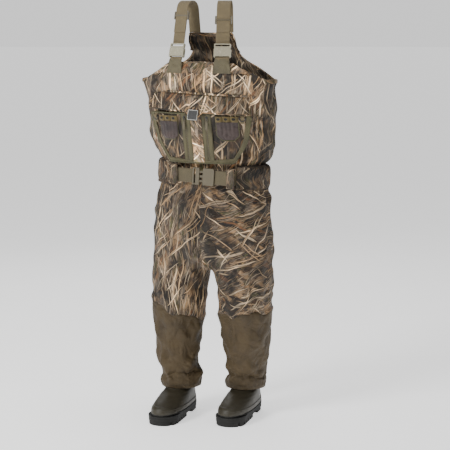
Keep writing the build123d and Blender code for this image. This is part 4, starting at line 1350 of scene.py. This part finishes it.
place(level_band("belt_around", around, BELT_WEB), ROOT, "olive_webbing", "belt_back")
tunnel_rows = []
for h, out in ((-0.044, None), (-0.037, 0.0010), (-0.031, 0.0040), (-0.020, 0.0056), (0.0, 0.0060),
               (0.020, 0.0054), (0.031, 0.0034), (0.037, 0.0006), (0.044, None)):
    row = []
    for a in np.linspace(reach_left + 0.03, 2 * math.pi - reach_right - 0.03, 260):
        gather = 0.0016 * math.sin(a * 61 + h * 40) + 0.0010 * math.sin(a * 97 - h * 90)
        if out is None:
            x, y, z = torso_point(a, BELT_Z + h, -0.003)
            row.append((x, y, z))
        else:
            x, y, z = belt_ring(a, out + gather * (0.3 + abs(h) * 22))
            row.append((x, y, z + h + 0.0022 * math.sin(a * 23 + h * 30)))
    tunnel_rows.append(row)
tunnel = grid_object("belt_tunnel", [belt_tilt(row) for row in tunnel_rows], CAMO_BODY_SHADED)
thicken(tunnel, 0.0014, 0.0, 1)
place(tunnel, ROOT, "marsh_camo_fabric")
left_run = [(x, BELT_FRONT_Y, BELT_Z) for x in np.linspace(0.0573, 0.112, 16)]
right_run = [(x, BELT_FRONT_Y, BELT_Z) for x in np.linspace(-0.091, -0.0253, 18)]
place(level_band("belt_left_run", left_run, BELT_WEB), ROOT, "olive_webbing", "belt_front_left")
place(level_band("belt_right_run", right_run, BELT_WEB), "belt_tongue", "olive_webbing", "belt_front_right")

loop_parts = []
out = np.array([0.0, -1.0, 0.0])
for x in (0.118, -0.095):
    spot = np.array([x, BELT_FRONT_Y, BELT_Z - x * math.sin(FLAP_TILT)])
    turns = ((-0.0146, 0.035), (0.0035, 0.033), (0.0064, 0.0275), (0.0064, 0.0),
             (0.0064, -0.0275), (0.0035, -0.033), (-0.0146, -0.035))
    path = smooth_path([spot + out * reach + UP * rise for reach, rise in turns], 50)
    away = path - (spot - out * 0.012)
    away /= np.linalg.norm(away, axis=1)[:, None]
    loop_parts.append(sweep("belt_loop", path, webbing_profile(0.030, 0.0020), CAMO_SHADED, away))
    for side in (-1, 1):
        line = np.array([spot + out * 0.0078 + UP * h + np.cross(UP, out) * side * 0.0125
                         for h in np.linspace(-0.026, 0.026, 20)])
        loop_parts.append(stitches("loop_stitches", line, np.tile(out, (20, 1)), THREAD, 0.0036, 0.0024))
for part in loop_parts:
    place(part, ROOT, "marsh_camo_fabric")
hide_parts("belt_loops")


# ---- cuffs and boots --------------------------------------------------------------------
cuff_parts = []
for side in (1, -1):
    for rise in (0.0, 0.0045):
        line = SHAPE[EDGES[f"hem{side}"]]
        line = smooth_path(np.vstack([line, line[:1]]), 200) + [0, 0, rise]
        away = outward(line, (side * LEG_X, BODY_Y + stride_at(side, 0.12) + 0.015))
        cuff_parts.append(stitches("cuff_stitches", line + away * 0.0010, away, DARK_THREAD, 0.0046, 0.0030))
    knee_line = SHAPE[EDGES[f"knee{side}"]]
    knee_line = np.vstack([knee_line, knee_line[:1]]) - [0, 0, 0.005]
    away = outward(knee_line, (side * LEG_X, BODY_Y + stride_at(side, KNEE_Z)))
    cuff_parts.append(stitches("knee_stitches", knee_line + away * 0.0006, away, DARK_THREAD, 0.0044, 0.0030))
for part in cuff_parts:
    place(part, ROOT, "brown_nylon")
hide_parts("cuffs")

BOOT_RINGS = [
    (0.0335, 0.0575, 0.1510, -0.048), (0.0480, 0.0580, 0.1500, -0.047), (0.0620, 0.0550, 0.1440, -0.044),
    (0.0840, 0.0500, 0.1130, -0.020), (0.1020, 0.0440, 0.0740, 0.009), (0.1350, 0.0430, 0.0600, 0.016),
    (0.2000, 0.0490, 0.0570, 0.008),
]


def boot_point(side, z, angle, grow=0.0):
    half_x, half_y, y = smooth_ring(BOOT_RINGS, z)
    toe = smoothstep((0.100 - z) / 0.05)
    c, s = math.cos(angle), math.sin(angle)
    wide = 1 + toe * (0.045 * c - 0.07 * max(0.0, -c) - 0.04 * math.exp(-((c + 0.15) / 0.3) ** 2))
    inner = 1 - toe * 0.05 * max(0.0, c) * (1 if s * side > 0 else 0)
    power = 1 - 0.12 * toe
    x = (half_x + grow) * wide * inner * math.copysign(abs(s) ** power, s)
    crease = bumped(z - 0.100, 0.020) * max(0.0, c) * (0.0026 * math.sin(z * 620 + 1.1 * s) - 0.0012)
    crease += bumped(z - 0.150, 0.030) * 0.0016 * math.sin(z * 330 + angle * 2)
    return (side * LEG_X + x + crease * s,
            BODY_Y + y + side * 0.03571 - (half_y + grow + crease) * math.copysign(abs(c) ** power, c), z)


for side in (1, -1):
    name = "left" if side > 0 else "right"
    levels = np.concatenate([np.linspace(0.0335, 0.062, 8), np.linspace(0.0655, 0.112, 22),
                             np.linspace(0.117, 0.199, 18)])
    rows = [[boot_point(side, z, 2 * math.pi * k / 96) for k in range(96)] for z in levels]
    upper = grid_object(f"boot_{name}", rows, BOOT, True)
    thicken(upper, 0.0035)
    modifier(upper, "SUBSURF", "smooth", levels=1, render_levels=1)
    place(upper, ROOT, "boot_rubber", f"boot_upper_{name}")
    welt = np.array([boot_point(side, 0.0375, 2 * math.pi * k / 96, 0.0012) for k in range(97)])
    away = outward(welt, (side * LEG_X, BODY_Y + side * 0.0357 - 0.048))
    place(sweep(f"boot_welt_{name}", welt, round_profile(0.0022, 8, 0.7), SOLE, away, True),
          ROOT, "black_rubber")
    ridge = np.array([boot_point(side, 0.0540, 2 * math.pi * k / 96, 0.0004) for k in range(97)])
    place(sweep(f"boot_ridge_{name}", ridge, round_profile(0.0016, 6), BOOT, away, True), ROOT, "boot_rubber")
    rows = []
    for z in np.linspace(0.038, 0.094, 16):
        limit = 0.86 - 0.42 * ((z - 0.038) / 0.056) ** 2
        rows.append([boot_point(side, z, math.pi + limit * t, 0.0020) for t in np.linspace(-1, 1, 30)])
    counter = grid_object(f"heel_counter_{name}", rows, BOOT)
    thicken(counter, 0.0030)
    place(counter, ROOT, "boot_rubber")
    if side > 0:
        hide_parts("heel_counters")
    rows = []
    for z in np.linspace(0.036, 0.0665, 12):
        limit = 0.95 - 0.5 * ((z - 0.036) / 0.0305) ** 2
        rows.append([boot_point(side, z, limit * t, 0.0016) for t in np.linspace(-1, 1, 36)])
    cap = grid_object(f"toe_cap_{name}", rows, BOOT)
    thicken(cap, 0.0024)
    place(cap, ROOT, "boot_rubber")


# ---- moulded parts that keep their CAD shape ---------------------------------------------
KEPT = {
    "buckle_socket_left": BUCKLE, "buckle_socket_right": BUCKLE,
    "buckle_plug_left": BUCKLE, "buckle_plug_right": BUCKLE,
    "adjuster_left": OLIVE_PLASTIC, "adjuster_right": OLIVE_PLASTIC,
    "belt_socket": OLIVE_PLASTIC, "belt_plug": OLIVE_PLASTIC,
    "zip_slider_left": BLACK, "zip_slider_right": BLACK,
    "zip_pull_left": OLIVE_PLASTIC, "zip_pull_right": OLIVE_PLASTIC,
    "d_ring_left": BLACK, "d_ring_right": BLACK,
    "outsole_left": SOLE, "outsole_right": SOLE, "midsoles": SOLE, "insoles": LINING,
}
for node, material in KEPT.items():
    obj = bpy.data.objects[node]
    obj.data.materials.clear()
    obj.data.materials.append(material)

# ---- floor, lights and camera -------------------------------------------------------------
g = Graph("studio_floor")
speck = g.noise(g.position(), 3.0, 4.0)
FLOOR = g.finish(g.ramp(speck, [(0.3, (0.86, 0.86, 0.855)), (0.7, (0.90, 0.90, 0.895))]), 0.85,
                 g.bump(g.noise(g.position(), 60.0, 2.0), 0.02, 0.001),
                 Emission_Color=(1, 1, 1, 1), Emission_Strength=0.92)
FLOOR_R = 60.0
rings = [(0.0, 0.0, 0.0)]
spokes = 48
for radius in (3.0, 12.0, FLOOR_R):
    rings += [(radius * math.cos(a), radius * math.sin(a), 0.0)
              for a in np.linspace(0, 2 * math.pi, spokes, endpoint=False)]
faces = [(0, 1 + k, 1 + (k + 1) % spokes) for k in range(spokes)]
for ring in (0, 1):
    start = 1 + ring * spokes
    for k in range(spokes):
        n = (k + 1) % spokes
        faces.append((start + k, start + spokes + k, start + spokes + n, start + n))
floor = mesh_object("studio_floor", rings, faces, [(x, y) for x, y, _ in rings], FLOOR, False)


def area_light(name, place_at, aim, size, power, colour=(1, 1, 1)):
    data = bpy.data.lights.new(name, "AREA")
    data.shape = "RECTANGLE"
    data.size, data.size_y = size
    data.energy = power
    data.color = colour
    obj = link(bpy.data.objects.new(name, data))
    obj.location = place_at
    obj.rotation_euler = (Vector(aim) - Vector(place_at)).to_track_quat("-Z", "Y").to_euler()
    return obj


area_light("key_light", (-1.8, -3.4, 3.0), (0, 0, 0.8), (1.4, 1.4), 175)
area_light("fill_light", (3.4, -2.6, 1.8), (0, 0, 0.7), (2.0, 2.4), 16)
area_light("top_light", (0.2, 0.4, 4.2), (0, 0, 0.8), (1.8, 1.8), 60)
area_light("back_light", (-1.5, 2.6, 2.4), (0, 0.6, 1.0), (2.0, 2.0), 20)
world = bpy.data.worlds.new("studio")
world.use_nodes = True
tree = world.node_tree
direction = tree.nodes.new("ShaderNodeTexCoord")
split = tree.nodes.new("ShaderNodeSeparateXYZ")
ramp = tree.nodes.new("ShaderNodeValToRGB")
tree.links.new(direction.outputs["Generated"], split.inputs[0])
tree.links.new(split.outputs[2], ramp.inputs[0])
tree.links.new(ramp.outputs[0], tree.nodes["Background"].inputs[0])
ramp.color_ramp.elements[0].position = 0.08
ramp.color_ramp.elements[0].color = (1.0, 1.0, 1.0, 1)
ramp.color_ramp.elements[1].position = 0.22
ramp.color_ramp.elements[1].color = (0.16, 0.16, 0.16, 1)
tree.nodes["Background"].inputs[1].default_value = 1.0
bpy.context.scene.world = world

AZIMUTH = math.radians(21.5)
DISTANCE, CAMERA_Z, AIM_Z = 5.2, 1.45, 0.701
camera_data = bpy.data.cameras.new("camera")
camera_data.sensor_width = 36
camera_data.lens = 36 * DISTANCE / 1.594
camera = link(bpy.data.objects.new("camera", camera_data))
camera.location = (math.sin(AZIMUTH) * DISTANCE, -math.cos(AZIMUTH) * DISTANCE, CAMERA_Z)
aim = Vector((0.057, 0.019, AIM_Z))
camera.rotation_euler = (aim - camera.location).to_track_quat("-Z", "Y").to_euler()
bpy.context.scene.camera = camera
